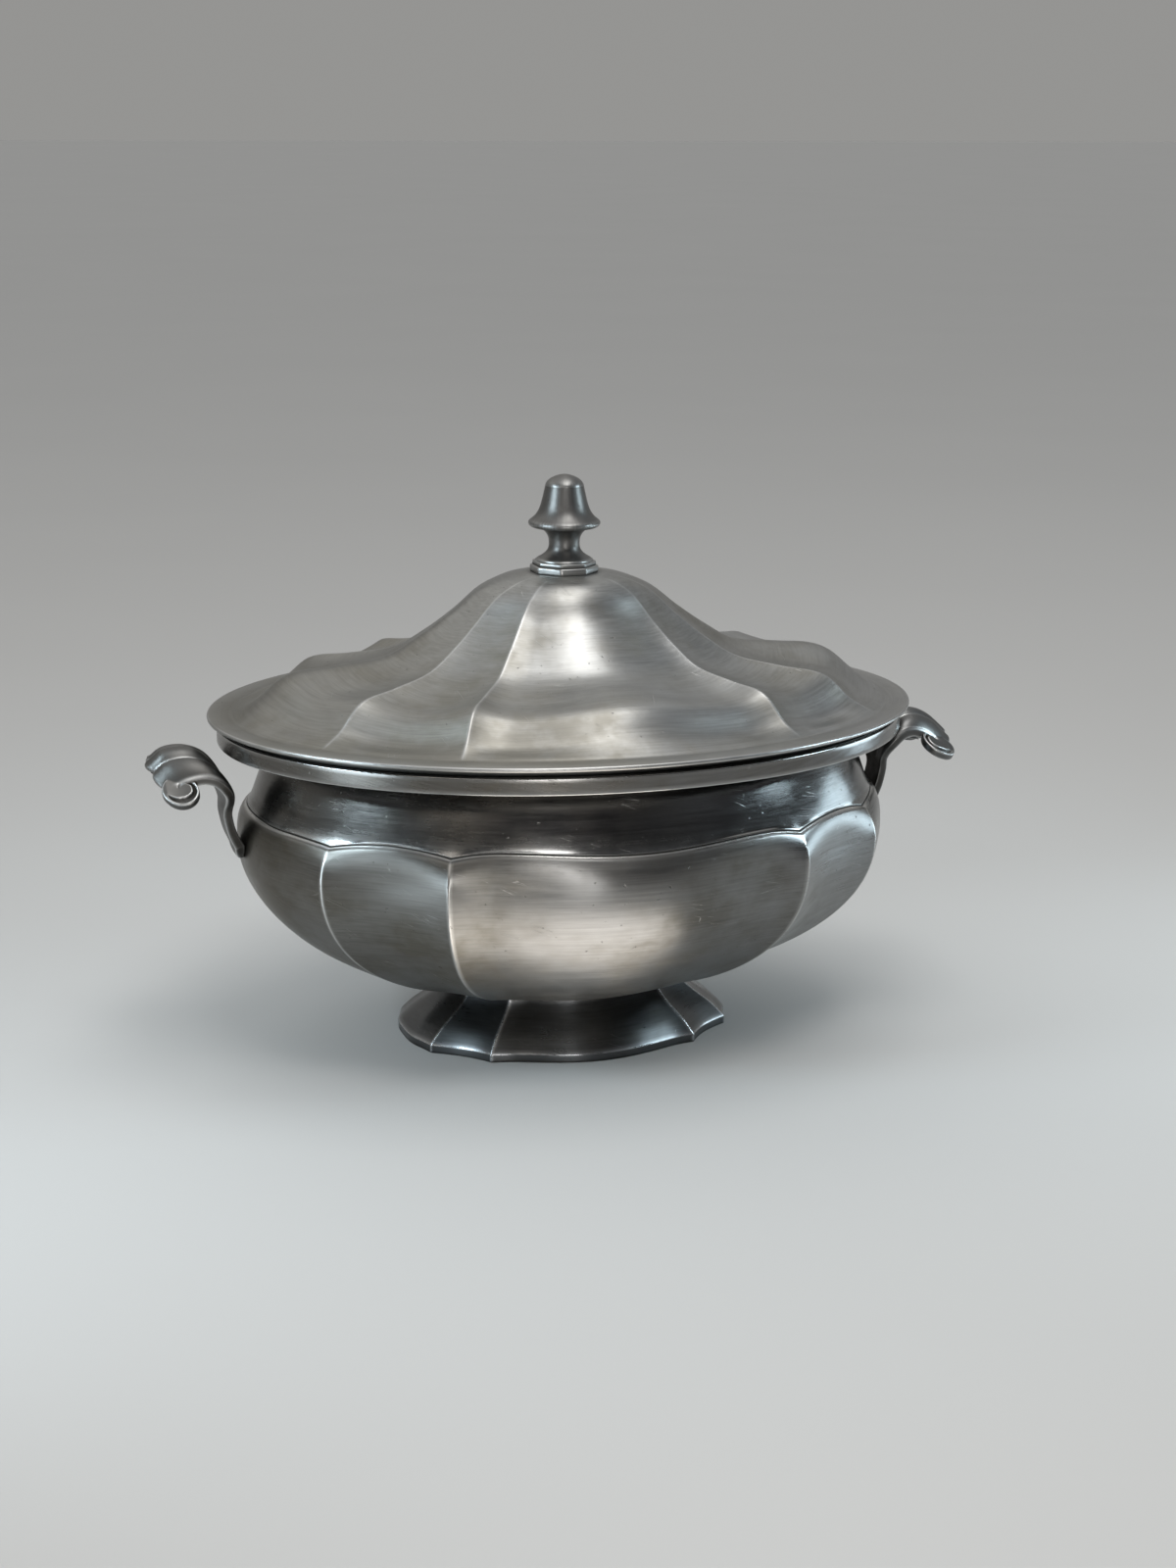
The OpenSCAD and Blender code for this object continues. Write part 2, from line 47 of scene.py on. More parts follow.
scene = bpy.context.scene
scene.view_settings.view_transform = "Standard"
print("frame loaded, nodes:", len(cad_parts))


# small helpers

def mix(p, q, t):
    return p + (q - p) * t


def smooth(t):
    t = min(1, max(0, t))
    return t * t * (3 - 2 * t)


def ramp(value, start, length):
    return smooth((value - start) / length)


def splineAt(values, t):  # smooth line through the values, t from 0 to 1
    last = len(values) - 1
    i = min(last - 1, int(t * last))
    u = t * last - i
    p0, p1, p2, p3 = values[max(0, i - 1)], values[i], values[i + 1], values[min(last, i + 2)]
    return 0.5 * (2 * p1 + (p2 - p0) * u + (2 * p0 - 5 * p1 + 4 * p2 - p3) * u ** 2
                  + (3 * p1 - p0 - 3 * p2 + p3) * u ** 3)


def steps(count):  # shares from 0 to 1
    return [i / count for i in range(count + 1)]


def roundCorner(radius, count):  # a quarter turn: how far out, how far along
    turns = [pi / 2 * t for t in steps(count)]
    return [(radius * sin(turn), radius * (1 - cos(turn))) for turn in turns]


def setMode(mode):
    bpy.ops.object.mode_set(mode=mode)


def selectNone():
    bpy.ops.object.select_all(action="DESELECT")


def selectFaces(action="SELECT"):
    bpy.ops.mesh.select_all(action=action)


def turnOut():  # in edit mode: every face outwards
    selectFaces()
    bpy.ops.mesh.normals_make_consistent()


def named(name):  # the object just made
    piece = bpy.context.object
    piece.name = piece.data.name = name
    return piece


# camera: the photograph's viewing angle

cameraLook = {
    "azimuth": -18.2,
    "elevation": 14.2,
    "roll": 0.42,
    "distance": 1.199,
    "aim": (0.01145, 0.1028),  # to the right and up in the picture
    "lens": 84,
}


def placeCamera(look):
    a, e, r = (radians(look[k]) for k in ("azimuth", "elevation", "roll"))
    back = Vector((sin(a) * cos(e), -cos(a) * cos(e), sin(e)))
    right = Vector((cos(a), sin(a), 0))
    up = back.cross(right)
    right, up = right * cos(r) + up * sin(r), up * cos(r) - right * sin(r)
    place = right * look["aim"][0] + up * look["aim"][1] + back * look["distance"]
    camera = bpy.data.objects.new("camera", bpy.data.cameras.new("camera"))
    camera.matrix_world = Matrix.Translation(place) @ Matrix((right, up, back)).transposed().to_4x4()
    camera.data.lens = look["lens"]
    camera.data.sensor_fit = "HORIZONTAL"
    camera.data.clip_start = 0.01
    bpy.context.collection.objects.link(camera)
    scene.camera = camera


placeCamera(cameraLook)
print("camera placed")


# eight panels around every ring of the foot, the bowl and the lid

panels = {
    "aspect": 0.757,  # width of a ring over its length
    "columns": 384,  # steps around a ring
    "crowd": (1.35, 0.11),  # how far the steps close up towards the ridges of wide and narrow panels
    "ridgesFoot": (27, 52.5),  # ellipse angles of the ridges beside the end and the front panel
    "ridgesBowl": (33, 57.5),
    "ridgesLid": (33.5, 60),
    "flank": (0.48, 0.75),  # hollow of the flanks of an end and a front panel
    "flankAt": (0.6, 0.74),
    "middle": (0.75, 0.1),  # hollow of their middles
    "lidMiddle": (-0.5, -0.1),
    "ridgeLine": 0.55 * mm,  # width of the polished ridge line
    "reach": 0.45,  # width of a panel over the half-length of its ring
}


def wideHollow(u, side, middle):  # u is 0 at the panel's middle and 1 at its ridge
    flank, at = panels["flank"][side], panels["flankAt"][side]
    if u < at:
        return mix(middle[side], flank, (1 - cos(pi * u / at)) / 2)
    return flank * (1 - ((u - at) / (1 - at)) ** 2)


def columnPlace(column):  # quarter of the ring, and 0..3 across it: end panel, narrow panel, front panel
    quarter, k = divmod(column * 12 / panels["columns"], 3)
    wide, narrow = panels["crowd"]
    if quarter % 2:
        k = 3 - k
    if k <= 1:
        k = 1 - (1 - k) ** wide
    elif k <= 2:
        k = k - narrow * sin(2 * pi * (k - 1))
    else:
        k = 2 + (k - 2) ** wide
    return int(quarter), k


def columnHollow(k, middle):
    if k <= 1:
        return wideHollow(k, 0, middle)
    if k <= 2:
        return 1 - (2 * k - 3) ** 2
    return wideHollow(3 - k, 1, middle)


def columnAngle(quarter, k, ridges):
    end, front = ridges
    if k <= 1:
        angle = end * k
    elif k <= 2:
        angle = mix(end, front, k - 1)
    else:
        angle = mix(front, 90, k - 2)
    return radians((angle, 180 - angle, 180 + angle, 360 - angle)[quarter])


columnPlaces = [columnPlace(c) for c in range(panels["columns"])]
aspect = panels["aspect"]


def ridgeWear(k, size):
    reach = min(abs(k - 1), abs(k - 2)) * panels["reach"] * size
    return exp(-(reach / panels["ridgeLine"]) ** 2)


# one ring of points with the wear and grime on them
def panelRing(a, b, z, depth=0, lift=0, ridges=panels["ridgesBowl"], middle=panels["middle"],
              wear=0, grime=0, ridge=0):
    points, wears = [], []
    for quarter, k in columnPlaces:
        hollow, angle = columnHollow(k, middle), columnAngle(quarter, k, ridges)
        inward = depth * hollow
        place = (a - inward) * cos(angle), (b - inward) * sin(angle), z + lift * hollow
        points.append(Vector(place))
        wears.append(max(wear, ridge * ridgeWear(k, a)))
    return {"points": points, "wear": wears, "grime": grime}


def bareRing(points):
    return {"points": points, "wear": [0] * len(points), "grime": 0}


def mixRings(low, high, t, grime=None):
    points = [p.lerp(q, t) for p, q in zip(low["points"], high["points"])]
    wears = [mix(p, q, t) for p, q in zip(low["wear"], high["wear"])]
    if grime is None:
        grime = mix(low["grime"], high["grime"], t)
    return {"points": points, "wear": wears, "grime": grime}


# marks on every point: brush direction, polish, and dirt with painted shade

markLook = {
    "radius": 0.1,  # of the circle that the brush lines run around
    "slope": 0.8,  # how much a step outwards counts as a step down
    "edge": 0.14,  # turn of the surface that counts as a full edge or corner
}


def addMarks(mesh):
    kinds = {"lay": "FLOAT_VECTOR", "wear": "FLOAT", "grime": "FLOAT"}
    for label, kind in kinds.items():
        if label not in mesh.attributes:
            mesh.attributes.new(label, kind, "POINT")
    return [mesh.attributes[label].data for label in kinds]


def closeSeams():  # in edit mode
    selectFaces()
    bpy.ops.mesh.remove_doubles(threshold=0.01 * mm)
    turnOut()


# a grid primitive rolled up: one row for each ring, one column for each step around
def loftRings(name, rings, closed=False):
    columns, count = len(rings[0]["points"]), len(rings)
    rows = count if closed else count - 1
    selectNone()
    bpy.ops.mesh.primitive_grid_add(x_subdivisions=columns, y_subdivisions=rows, size=1)
    piece = named(name)
    mesh = piece.data
    lay, wear, grime = addMarks(mesh)
    radius, runs, run = markLook["radius"], [0], 0
    for low, high in zip(rings, rings[1:]):
        run += (low["points"][columns // 4] - high["points"][columns // 4]).length
        runs.append(run)
    for i, vertex in enumerate(mesh.vertices):
        c = round((vertex.co.x + 0.5) * columns) % columns
        r = round((vertex.co.y + 0.5) * rows) % count
        turn = 2 * pi * c / columns
        lay[i].vector = (radius * cos(turn), radius * sin(turn), runs[r])
        wear[i].value = rings[r]["wear"][c]
        grime[i].value = rings[r]["grime"]
        vertex.co = rings[r]["points"][c]
    setMode("EDIT")
    closeSeams()
    setMode("OBJECT")
    bpy.ops.object.shade_smooth()
    print("lofted", name, len(mesh.polygons), "faces")
    return piece


# a circle drawn out ring by ring along a profile of (half-length, half-width, height)
def turnProfile(name, profile, columns, closed=False):
    selectNone()
    bpy.ops.mesh.primitive_circle_add(vertices=columns, radius=1)
    piece = named(name)
    setMode("EDIT")
    selectFaces()
    a, b, z = profile[0]
    bpy.ops.transform.resize(value=(a, b, 1), center_override=(0, 0, 0))
    bpy.ops.transform.translate(value=(0, 0, z))
    for nextA, nextB, nextZ in profile[1:] + (profile[:1] if closed else []):
        bpy.ops.mesh.extrude_edges_move(TRANSFORM_OT_translate={"value": (0, 0, nextZ - z)})
        bpy.ops.transform.resize(value=(nextA / a, nextB / b, 1), center_override=(0, 0, nextZ))
        a, b, z = nextA, nextB, nextZ
    closeSeams()
    setMode("OBJECT")
    bpy.ops.object.shade_smooth()
    markSurface(piece)
    print("turned", name, len(piece.data.polygons), "faces")
    return piece


# brush direction around the axis, polish on convex edges, darker in hollows
def markSurface(piece):
    mesh = piece.data
    radius, slope, full = markLook.values()
    convex = [0] * len(mesh.vertices)
    count = [0] * len(mesh.vertices)
    for edge in mesh.edges:
        p, q = (mesh.vertices[i] for i in edge.vertices)
        way = (q.co - p.co).normalized()
        for vertex, away in ((p, way), (q, -way)):
            convex[vertex.index] -= vertex.normal.dot(away)
            count[vertex.index] += 1
    lay, wear, grime = addMarks(mesh)
    for i, vertex in enumerate(mesh.vertices):
        x, y, z = vertex.co
        reach = max(1e-6, hypot(x, y))
        share = convex[i] / max(1, count[i])
        lay[i].vector = (radius * x / reach, radius * y / reach, z - slope * reach)
        wear[i].value = smooth(share / full)
        grime[i].value = smooth(-share / full)


# foot: small upright edge, then a flare with hollow panels up to the waist

footLook = {
    "half": 74 * mm,  # half-length at the rim
    "edge": 3.6 * mm,  # height of the upright edge
    "round": 0.6 * mm,
    "wall": 3 * mm,
    "hollow": 3.4 * mm,
    "flareHalf": [74, 68.3, 63, 58.44, 54.95, 52.75, 52],
    "flareRise": [3.6, 8.9, 12.55, 15.73, 18.65, 21.4, 24],
    "rows": 30,
    "polish": (0.75, 0.9),  # of the edge and the ridges
    "soilAndShade": (0.6, 0.9, 0.7),  # painted shade with dirt: below the edge, in the waist and inside
}


def bowlRidges(half):  # ridge angles by the half-length of a ring
    t = (half - footLook["half"]) / (bowlLook["topHalf"] - footLook["half"])
    return tuple(mix(p, q, t) for p, q in zip(panels["ridgesFoot"], panels["ridgesBowl"]))


def footRing(half, inset, z, **marks):
    depth = footLook["hollow"] * half / footLook["half"]
    return panelRing(half - inset, half * aspect - inset, z, depth, 0, bowlRidges(half), **marks)


def buildFoot():
    f = footLook
    half, edge, r = f["half"], f["edge"], f["round"]
    edgePolish, ridgePolish = f["polish"]
    below, waist, inside = f["soilAndShade"]
    rings = [footRing(half, r - out, up, grime=below, ridge=0.4) for out, up in roundCorner(r, 3)]
    rings += [footRing(half, 0, mix(r, edge - 0.5 * r, t), ridge=1, wear=0.1 * t) for t in steps(4)[1:]]
    rings.append(footRing(half - 0.15 * r, 0, edge - 0.1 * r, ridge=1, wear=edgePolish))
    halves, rises = f["flareHalf"], f["flareRise"]
    flare = [(splineAt(halves, t) * mm, splineAt(rises, t) * mm, t) for t in steps(f["rows"])]
    for a, z, t in flare[1:]:
        rings.append(footRing(a, 0, z, ridge=ridgePolish, grime=waist * ramp(t, 0.75, 0.25),
                              wear=0.35 * max(0, 1 - t / 0.07)))
    for a, z, t in flare[::-3]:
        rings.append(footRing(a, f["wall"], z, grime=inside))
    rings.append(footRing(half, f["wall"], 0, grime=inside))
    return loftRings("foot_shell", rings, closed=True)


# bowl: an open curve up to the belly, then a slight draw-in to the scalloped edge

bowlLook = {
    "half": 143.5 * mm,
    "topHalf": 137.5 * mm,
    "floorHalf": 56 * mm,
    "bellyRise": 64 * mm,
    "rise": 78 * mm,
    "curve": 0.714,
    "wall": 2.6 * mm,
    "hollow": 6 * mm,
    "edgeHollow": 2 * mm,
    "scallop": 3 * mm,
    "lip": 0.9 * mm,  # rounding of the scalloped edge
    "rows": 56,
    "polish": 0.9,  # of the ridges
    "soilAndShade": (0.8, 0.9, 0.25),  # painted shade with dirt: below, over the foot and inside
}
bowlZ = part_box("lobed_bowl")[0][2]
bellyZ = bowlZ + bowlLook["bellyRise"]
edgeZ = bowlZ + bowlLook["rise"]


def bowlHalf(z):
    b = bowlLook
    if z <= bellyZ:
        h = (bellyZ - z) / b["bellyRise"]
        return b["floorHalf"] + (b["half"] - b["floorHalf"]) * max(0, 1 - h * h) ** b["curve"]
    return mix(b["half"], b["topHalf"], ((z - bellyZ) / (edgeZ - bellyZ)) ** 2)


def bowlDepth(z):
    b = bowlLook
    if z <= bellyZ:
        return b["hollow"] * bowlHalf(z) / b["half"]
    return mix(b["hollow"], b["edgeHollow"], ramp(z, bellyZ, edgeZ - bellyZ))


def bowlRing(z, inset=0, rise=0, **marks):
    a = bowlHalf(z)
    lift = bowlLook["scallop"] * ramp(z, bellyZ, edgeZ - bellyZ)
    return panelRing(a - inset, a * aspect - inset, z + rise, bowlDepth(z), lift, bowlRidges(a), **marks)


def buildBowl():
    b = bowlLook
    lip, wall, floorHalf, polish = b["lip"], b["wall"], b["floorHalf"], b["polish"]
    below, waist, inside = b["soilAndShade"]
    rings = [panelRing(0, 0, bowlZ, grime=below), footRing(0.7 * floorHalf, 0, bowlZ, grime=below)]
    levels = [bellyZ - b["bellyRise"] * cos(pi / 2 * t) for t in steps(b["rows"])]
    rings += [bowlRing(z, ridge=polish, grime=waist * max(0, 1 - i / 9)) for i, z in enumerate(levels)]
    rings += [bowlRing(mix(bellyZ, edgeZ - lip, t), ridge=polish, wear=0.25 * ramp(t, 0.9, 0.1))
              for t in steps(18)[1:]]
    for i, (out, along) in enumerate(roundCorner(lip, 5)[1:]):  # the lip turns over to the inside
        rings.append(bowlRing(edgeZ, along + 0.25 * mm, out - lip, wear=1 if i < 4 else 0.2,
                              grime=0 if i < 3 else 0.9))
    rings.append(bowlRing(edgeZ, wall - 0.4 * mm, 0, grime=1))
    rings.append(bowlRing(edgeZ, wall, -0.5 * mm, grime=0.4))
    rings += [bowlRing(mix(bellyZ, edgeZ - lip, t), wall, grime=inside) for t in steps(6)[::-1]]
    for i, z in list(enumerate(levels))[:3:-4]:
        rings.append(bowlRing(z, wall, wall * cos(pi / 2 * i / b["rows"]), grime=inside))
    rings += [footRing(0.6 * floorHalf, 0, bowlZ + wall, grime=0.3), panelRing(0, 0, bowlZ + wall)]
    return loftRings("bowl_shell", rings)


# neck: scalloped foot line in the bowl's edge, a cove, then a wall that narrows to the rim

neckLook = {
    "half": (120.7 * mm, 88.2 * mm),
    "flare": 13.3 * mm,
    "shoulder": 0.78,  # under 1 rounds it outwards below the rim
    "ledge": 4 * mm,
    "wall": 1.7 * mm,
    "inset": 1.15 * mm,  # how far the foot line stands back from the bowl's edge
    "seam": 0.15 * mm,
    "bead": 0.1 * mm,  # small roll along the foot line
    "coveTop": 0.14,  # share of the wall's height
    "soilAndShade": (0.8, 0.3),  # painted shade with dirt: under the rim and inside
    "rows": 36,
}
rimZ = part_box("neck_collar")[1][2]


def neckRing(t, inset=0, **marks):
    n = neckLook
    flare = n["flare"] * (1 - t) ** n["shoulder"] - inset
    return panelRing(n["half"][0] + flare, n["half"][1] + flare, mix(edgeZ + n["ledge"], rimZ, t), **marks)


def neckFoot(inset, rise=0, **marks):
    a = bowlLook["topHalf"]
    return panelRing(a - inset, a * aspect - inset, edgeZ + neckLook["seam"] + rise,
                     bowlLook["edgeHollow"], bowlLook["scallop"], bowlRidges(a), **marks)


def buildNeck():
    n = neckLook
    inset, bead, coveTop = n["inset"], n["bead"], n["coveTop"]
    underRim, inside = n["soilAndShade"]
    rings = [neckFoot(inset + bead, 0, grime=0.7), neckFoot(inset - bead, 0.25 * mm, grime=0.4, wear=0.2),
             neckFoot(inset + bead, 0.55 * mm, grime=0.15, wear=0.5)]
    low, knee, high = rings[-1], neckRing(0), neckRing(coveTop)
    start = mixRings(low, knee, 0.45, grime=0)
    rings += [mixRings(low, start, t) for t in steps(4)[1:]]
    for t in steps(10)[1:]:  # the cove
        soilAndShade = 0.2 * (1 - abs(2 * t - 1))
        rings.append(mixRings(mixRings(start, knee, t), mixRings(knee, high, t), t, grime=soilAndShade))
    for t in steps(n["rows"])[1:]:
        # painted shadow under the rim
        rings.append(neckRing(mix(coveTop, 1, t), grime=underRim * ramp(t, 0.93, 0.07)))
    rings += [neckRing(t, n["wall"], grime=inside) for t in steps(6)[::-1]]
    rings.append(neckFoot(bowlLook["wall"], 0, grime=0.4))
    return loftRings("neck_wall", rings, closed=True)


# rim: flat plate around the mouth with an upright band

rimLook = {
    "half": (147 * mm, 115.5 * mm),
    "mouth": (119.1 * mm, 86.6 * mm),
    "band": 7 * mm,
    "bandWall": 2.6 * mm,
    "plate": 2 * mm,
    "round": 0.55 * mm,
    "mouthRound": 0.4 * mm,
    "inner": (21 * mm, 12 * mm),  # rings in from the band, on top of the plate and below it
    "unshaded": 1.2 * mm,  # outer strip of the top left without painted shade
    "columns": 320,
}
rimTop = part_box("rim_band")[1][2]


def ovalAt(half, inset, z):
    return half[0] - inset, half[1] - inset, z


def buildRim():
    r = rimLook
    half, low, top, turn = r["half"], rimTop - r["band"], rimTop, r["round"]
    mouth, mouthRound, wall, plateLow = r["mouth"], r["mouthRound"], r["bandWall"], top - r["plate"]
    innerTop, innerLow = r["inner"]
    profile = [ovalAt(half, turn - out, low + along) for out, along in roundCorner(turn, 4)]
    profile += [ovalAt(half, 0, mix(low + turn, top - turn, t)) for t in steps(4)[1:-1]]
    profile += [ovalAt(half, turn - out, top - along) for out, along in roundCorner(turn, 4)[::-1]]
    profile += [ovalAt(half, mix(turn, innerTop, t), top) for t in steps(5)[1:]]
    profile += [ovalAt(*at) for at in (
        (mouth, -mouthRound, top), (mouth, 0, top - mouthRound), (mouth, 0, plateLow),
        (half, innerLow, plateLow), (half, wall + turn, plateLow), (half, wall, plateLow - turn),
        (half, wall, low + turn), (half, wall - turn, low))]
    piece = turnProfile("rim_ring", profile, r["columns"], closed=True)
    grime = piece.data.attributes["grime"].data
    for vertex in piece.data.vertices:  # painted shade: black in the gap under the flange
        x, y, z = vertex.co
        if z > top - 0.05 * mm and hypot(x / (half[0] - r["unshaded"]), y / (half[1] - r["unshaded"])) < 1:
            grime[vertex.index].value = 1
    return piece


# lid: flange and ogee dome with eight ridges up to the crown

lidLook = {
    "flange": (151 * mm, 118 * mm),
    "thick": 1.8 * mm,
    "domeHalf": 141 * mm,
    "crownHalf": 16.5 * mm,
    "wall": 2.2 * mm,
    "hollow": 4.5 * mm,
    "upperHollow": 0.45,  # share of the hollow left on the upper dome
    # changes along the run: where they begin, and how long they take
    "starts": (0, 0.1),  # the hollow
    "flattens": (0.3, 0.25),
    "ends": (0.6, 0.32),
    "circles": (0.75, 0.25),  # oval to round
    "tiltStep": 0.03,
    "polish": 0.55,  # of the ridges
    "fillet": 1.6 * mm,
    "edge": 0.45,  # depth of the rounded edge over its thickness
    "run": [0, 0.09, 0.195, 0.35, 0.515, 0.63, 0.73, 0.825, 0.91, 0.97, 1],
    "climb": [0, 0.1, 0.275, 0.325, 0.39, 0.53, 0.69, 0.865, 0.955, 0.985, 1],
    "rows": 72,
}
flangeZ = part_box("lid")[0][2]
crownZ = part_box("lid")[1][2]
domeZ = flangeZ + lidLook["thick"]


def domePoint(t):
    l = lidLook
    share, climb = splineAt(l["run"], t), splineAt(l["climb"], t)
    return mix(l["domeHalf"], l["crownHalf"], share), mix(domeZ, crownZ, climb), share


def domeRing(t, inset=0, **marks):
    l = lidLook
    half, z, share = domePoint(t)
    low, high = domePoint(max(0, t - l["tiltStep"])), domePoint(min(1, t + l["tiltStep"]))
    tilt = atan2(high[1] - low[1], low[0] - high[0])
    s, c = sin(tilt), cos(tilt)
    depth = l["hollow"] * ramp(share, *l["starts"]) * (1 - ramp(share, *l["ends"]))
    depth *= mix(1, l["upperHollow"], ramp(share, *l["flattens"]))
    width = half * mix(aspect, 1, ramp(share, *l["circles"]))
    ridges = tuple(mix(p, q, share) for p, q in zip(panels["ridgesLid"], panels["ridgesFoot"]))
    return panelRing(half - inset * s, width - inset * s, z - inset * c, depth * s, -depth * c, ridges,
                     panels["lidMiddle"], **marks)


def flangeRing(inset, z, **marks):
    a, b = lidLook["flange"]
    return panelRing(a - inset, b - inset, z, ridges=panels["ridgesLid"], **marks)


def domeFoot(out, z, **marks):
    a = lidLook["domeHalf"]
    return panelRing(a + out, a * aspect + out, z, ridges=panels["ridgesLid"], **marks)


def buildLid():
    l = lidLook
    fillet, thick, crownHalf = l["fillet"], l["thick"], l["crownHalf"]
    edge = l["edge"] * thick
    rings = [panelRing(0, 0, crownZ), panelRing(0.8 * crownHalf, 0.8 * crownHalf, crownZ, grime=0.6)]
    for t in steps(l["rows"])[::-1]:
        rings.append(domeRing(t, ridge=l["polish"] * ramp(t, 0, 0.04) * (1 - ramp(t, 0.8, 0.15))))
    foot = domeFoot(fillet, domeZ, grime=0.1)
    rings.append(foot)
    brim = flangeRing(edge, domeZ, wear=0.25)
    rings += [mixRings(foot, brim, t, grime=0.1 * (1 - t)) for t in steps(5)[1:]]
    for t in steps(8)[1:-1]:  # half-round edge
        turn = pi * t
        rings.append(flangeRing(edge * (1 - sin(turn)), domeZ - thick / 2 * (1 - cos(turn)),
                                wear=0.8 - 0.6 * t))
    # painted shade under the flange and inside the dome
    rings.append(flangeRing(edge, flangeZ, grime=0.4))
    rings.append(flangeRing(5 * mm, flangeZ, grime=1))
    rings.append(domeFoot(-fillet, flangeZ, grime=0.5))
    rings += [domeRing(t, l["wall"], grime=0.2) for t in steps(24)[3:22]]
    under = crownZ - l["wall"]
    rings += [panelRing(r, r, under, grime=0.3) for r in (crownHalf, 0.5 * crownHalf)]
    rings.append(panelRing(0, 0, under))
    return loftRings("lid_dome", rings)


# bezel under the lid: seat ring on the rim, and a skirt that drops into the mouth

bezelLook = {
    "seat": (145 * mm, 112 * mm),
    "skirt": (118.1 * mm, 85.6 * mm),
    "wall": 2 * mm,
    "gap": 0.1 * mm,  # over the rim
    "round": 0.3 * mm,
    "columns": 256,
}


def buildBezel():
    b = bezelLook
    low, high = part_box("lid_bezel")
    seat, skirt, wall, turn = b["seat"], b["skirt"], b["wall"], b["round"]
    seatLow, bottom, top = rimTop + b["gap"], low[2], high[2]
    profile = [ovalAt(*at) for at in (
        (skirt, turn, bottom), (skirt, 0, bottom + turn), (skirt, 0, seatLow - turn),
        (skirt, -turn, seatLow), (seat, turn, seatLow), (seat, 0, seatLow + turn),
        (seat, 0, top - turn), (seat, turn, top), (skirt, wall - turn, top),
        (skirt, wall, top - turn), (skirt, wall, bottom + turn), (skirt, wall - turn, bottom))]
    return turnProfile("bezel_ring", profile, b["columns"], closed=True)


# knob and its stepped eight-sided plate

plateLook = {
    "widths": (27 * mm, 25 * mm),  # across the flats of the two steps
    "steps": (3 * mm, 1.8 * mm),
    "bevel": 0.8 * mm,
}


def buildPlate():
    p = plateLook
    low, high = p["widths"]
    first, second = p["steps"]
    corner = 1 / cos(pi / 8)
    selectNone()
    bpy.ops.mesh.primitive_cylinder_add(vertices=8, radius=low / 2 * corner, depth=first,
                                        location=(0, 0, crownZ + first / 2), rotation=(0, 0, pi / 8))
    piece = named("finial_plate")
    bpy.ops.object.transform_apply()
    setMode("EDIT")
    selectFaces("DESELECT")
    setMode("OBJECT")
    for face in piece.data.polygons:
        face.select = face.normal.z > 0.9
    setMode("EDIT")
    bpy.ops.mesh.inset(thickness=(low - high) / 2, use_even_offset=True)
    bpy.ops.mesh.extrude_region_move(TRANSFORM_OT_translate={"value": (0, 0, second)})
    bpy.ops.mesh.select_mode(type="EDGE")
    selectFaces("DESELECT")
    setMode("OBJECT")
    inner = (low + high) / 4 * corner
    for edge in piece.data.edges:  # every edge but the inner corner line between the steps
        ends = [piece.data.vertices[i].co for i in edge.vertices]
        edge.select = not all(abs(c.z - crownZ - first) < 1e-5 and c.xy.length < inner for c in ends)
    setMode("EDIT")
    bpy.ops.mesh.bevel(offset=p["bevel"], segments=5)
    turnOut()
    bpy.ops.mesh.select_mode(type="VERT")
    setMode("OBJECT")
    bpy.ops.object.shade_smooth_by_angle(angle=radians(35))
    markSurface(piece)
    print("plate built")
    return piece


knobLook = {
    "height": 36 * mm,
    "lip": 30.2 * mm,  # diameters
    "under": 19.3 * mm,
    "bell": 22.6 * mm,
    "dome": 16.2 * mm,
    "waist": 12.9 * mm,
    "foot": 24.2 * mm,
    "waistAt": 0.195,  # shares of the height
    "lipAt": 0.387,
    "shoulderAt": 0.86,
    "lipThick": 3.6 * mm,
    "nose": 2.5 * mm,  # rounding of the lip
    "lipTurn": (-80, 42),  # from its underside to its top
    "footCurve": 2.5,
    "waistCurve": 2.6,
    "bellCurve": 5.5,
    "domeCurve": 1.25,
    "seat": 0.6 * mm,
    "pole": 0.02 * mm,  # smallest radius
    "columns": 128,
}


def buildKnob():
    k = knobLook
    base, h, seat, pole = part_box("finial_knob")[0][2], k["height"], k["seat"], k["pole"]
    lipZ, waistZ, shoulderZ = k["lipAt"] * h, k["waistAt"] * h, k["shoulderAt"] * h
    lip, foot, waist, under = (k[key] / 2 for key in ("lip", "foot", "waist", "under"))
    bell, dome = k["bell"] / 2, k["dome"] / 2
    line = [(pole, 0), (foot - 0.5 * mm, 0), (foot - 0.12 * mm, 0.1 * mm), (foot, 0.35 * mm)]
    for t in steps(16)[1:]:
        line.append((waist + (foot - waist) * (1 - t) ** k["footCurve"], mix(seat, waistZ, t)))
    for t in steps(16)[1:]:
        line.append((mix(waist, under, t ** k["waistCurve"]), mix(waistZ, lipZ - seat, t)))

    def lipPoint(degrees):
        turn = radians(degrees)
        return lip - k["nose"] * (1 - cos(turn)), lipZ + k["lipThick"] / 2 * (1 + sin(turn))

    low, high = k["lipTurn"]
    line += [lipPoint(mix(low, high, t)) for t in steps(16)]
    edge, topZ = lipPoint(high)
    for t in steps(28)[1:]:
        flare = (edge - bell) * (1 - t) ** k["bellCurve"]
        line.append((mix(bell, dome, t) + flare, mix(topZ, shoulderZ, t)))
    for t in steps(14)[1:]:
        angle = pi / 2 * t
        line.append((max(pole, dome * max(0, cos(angle)) ** k["domeCurve"]),
                     mix(shoulderZ, h, sin(angle))))
    return turnProfile("finial_turned_knob", [(r, r, base + z) for r, z in line], k["columns"])


# handle: a strap from a tongue on the end panel, over an arch into a ribbed shell with side volutes

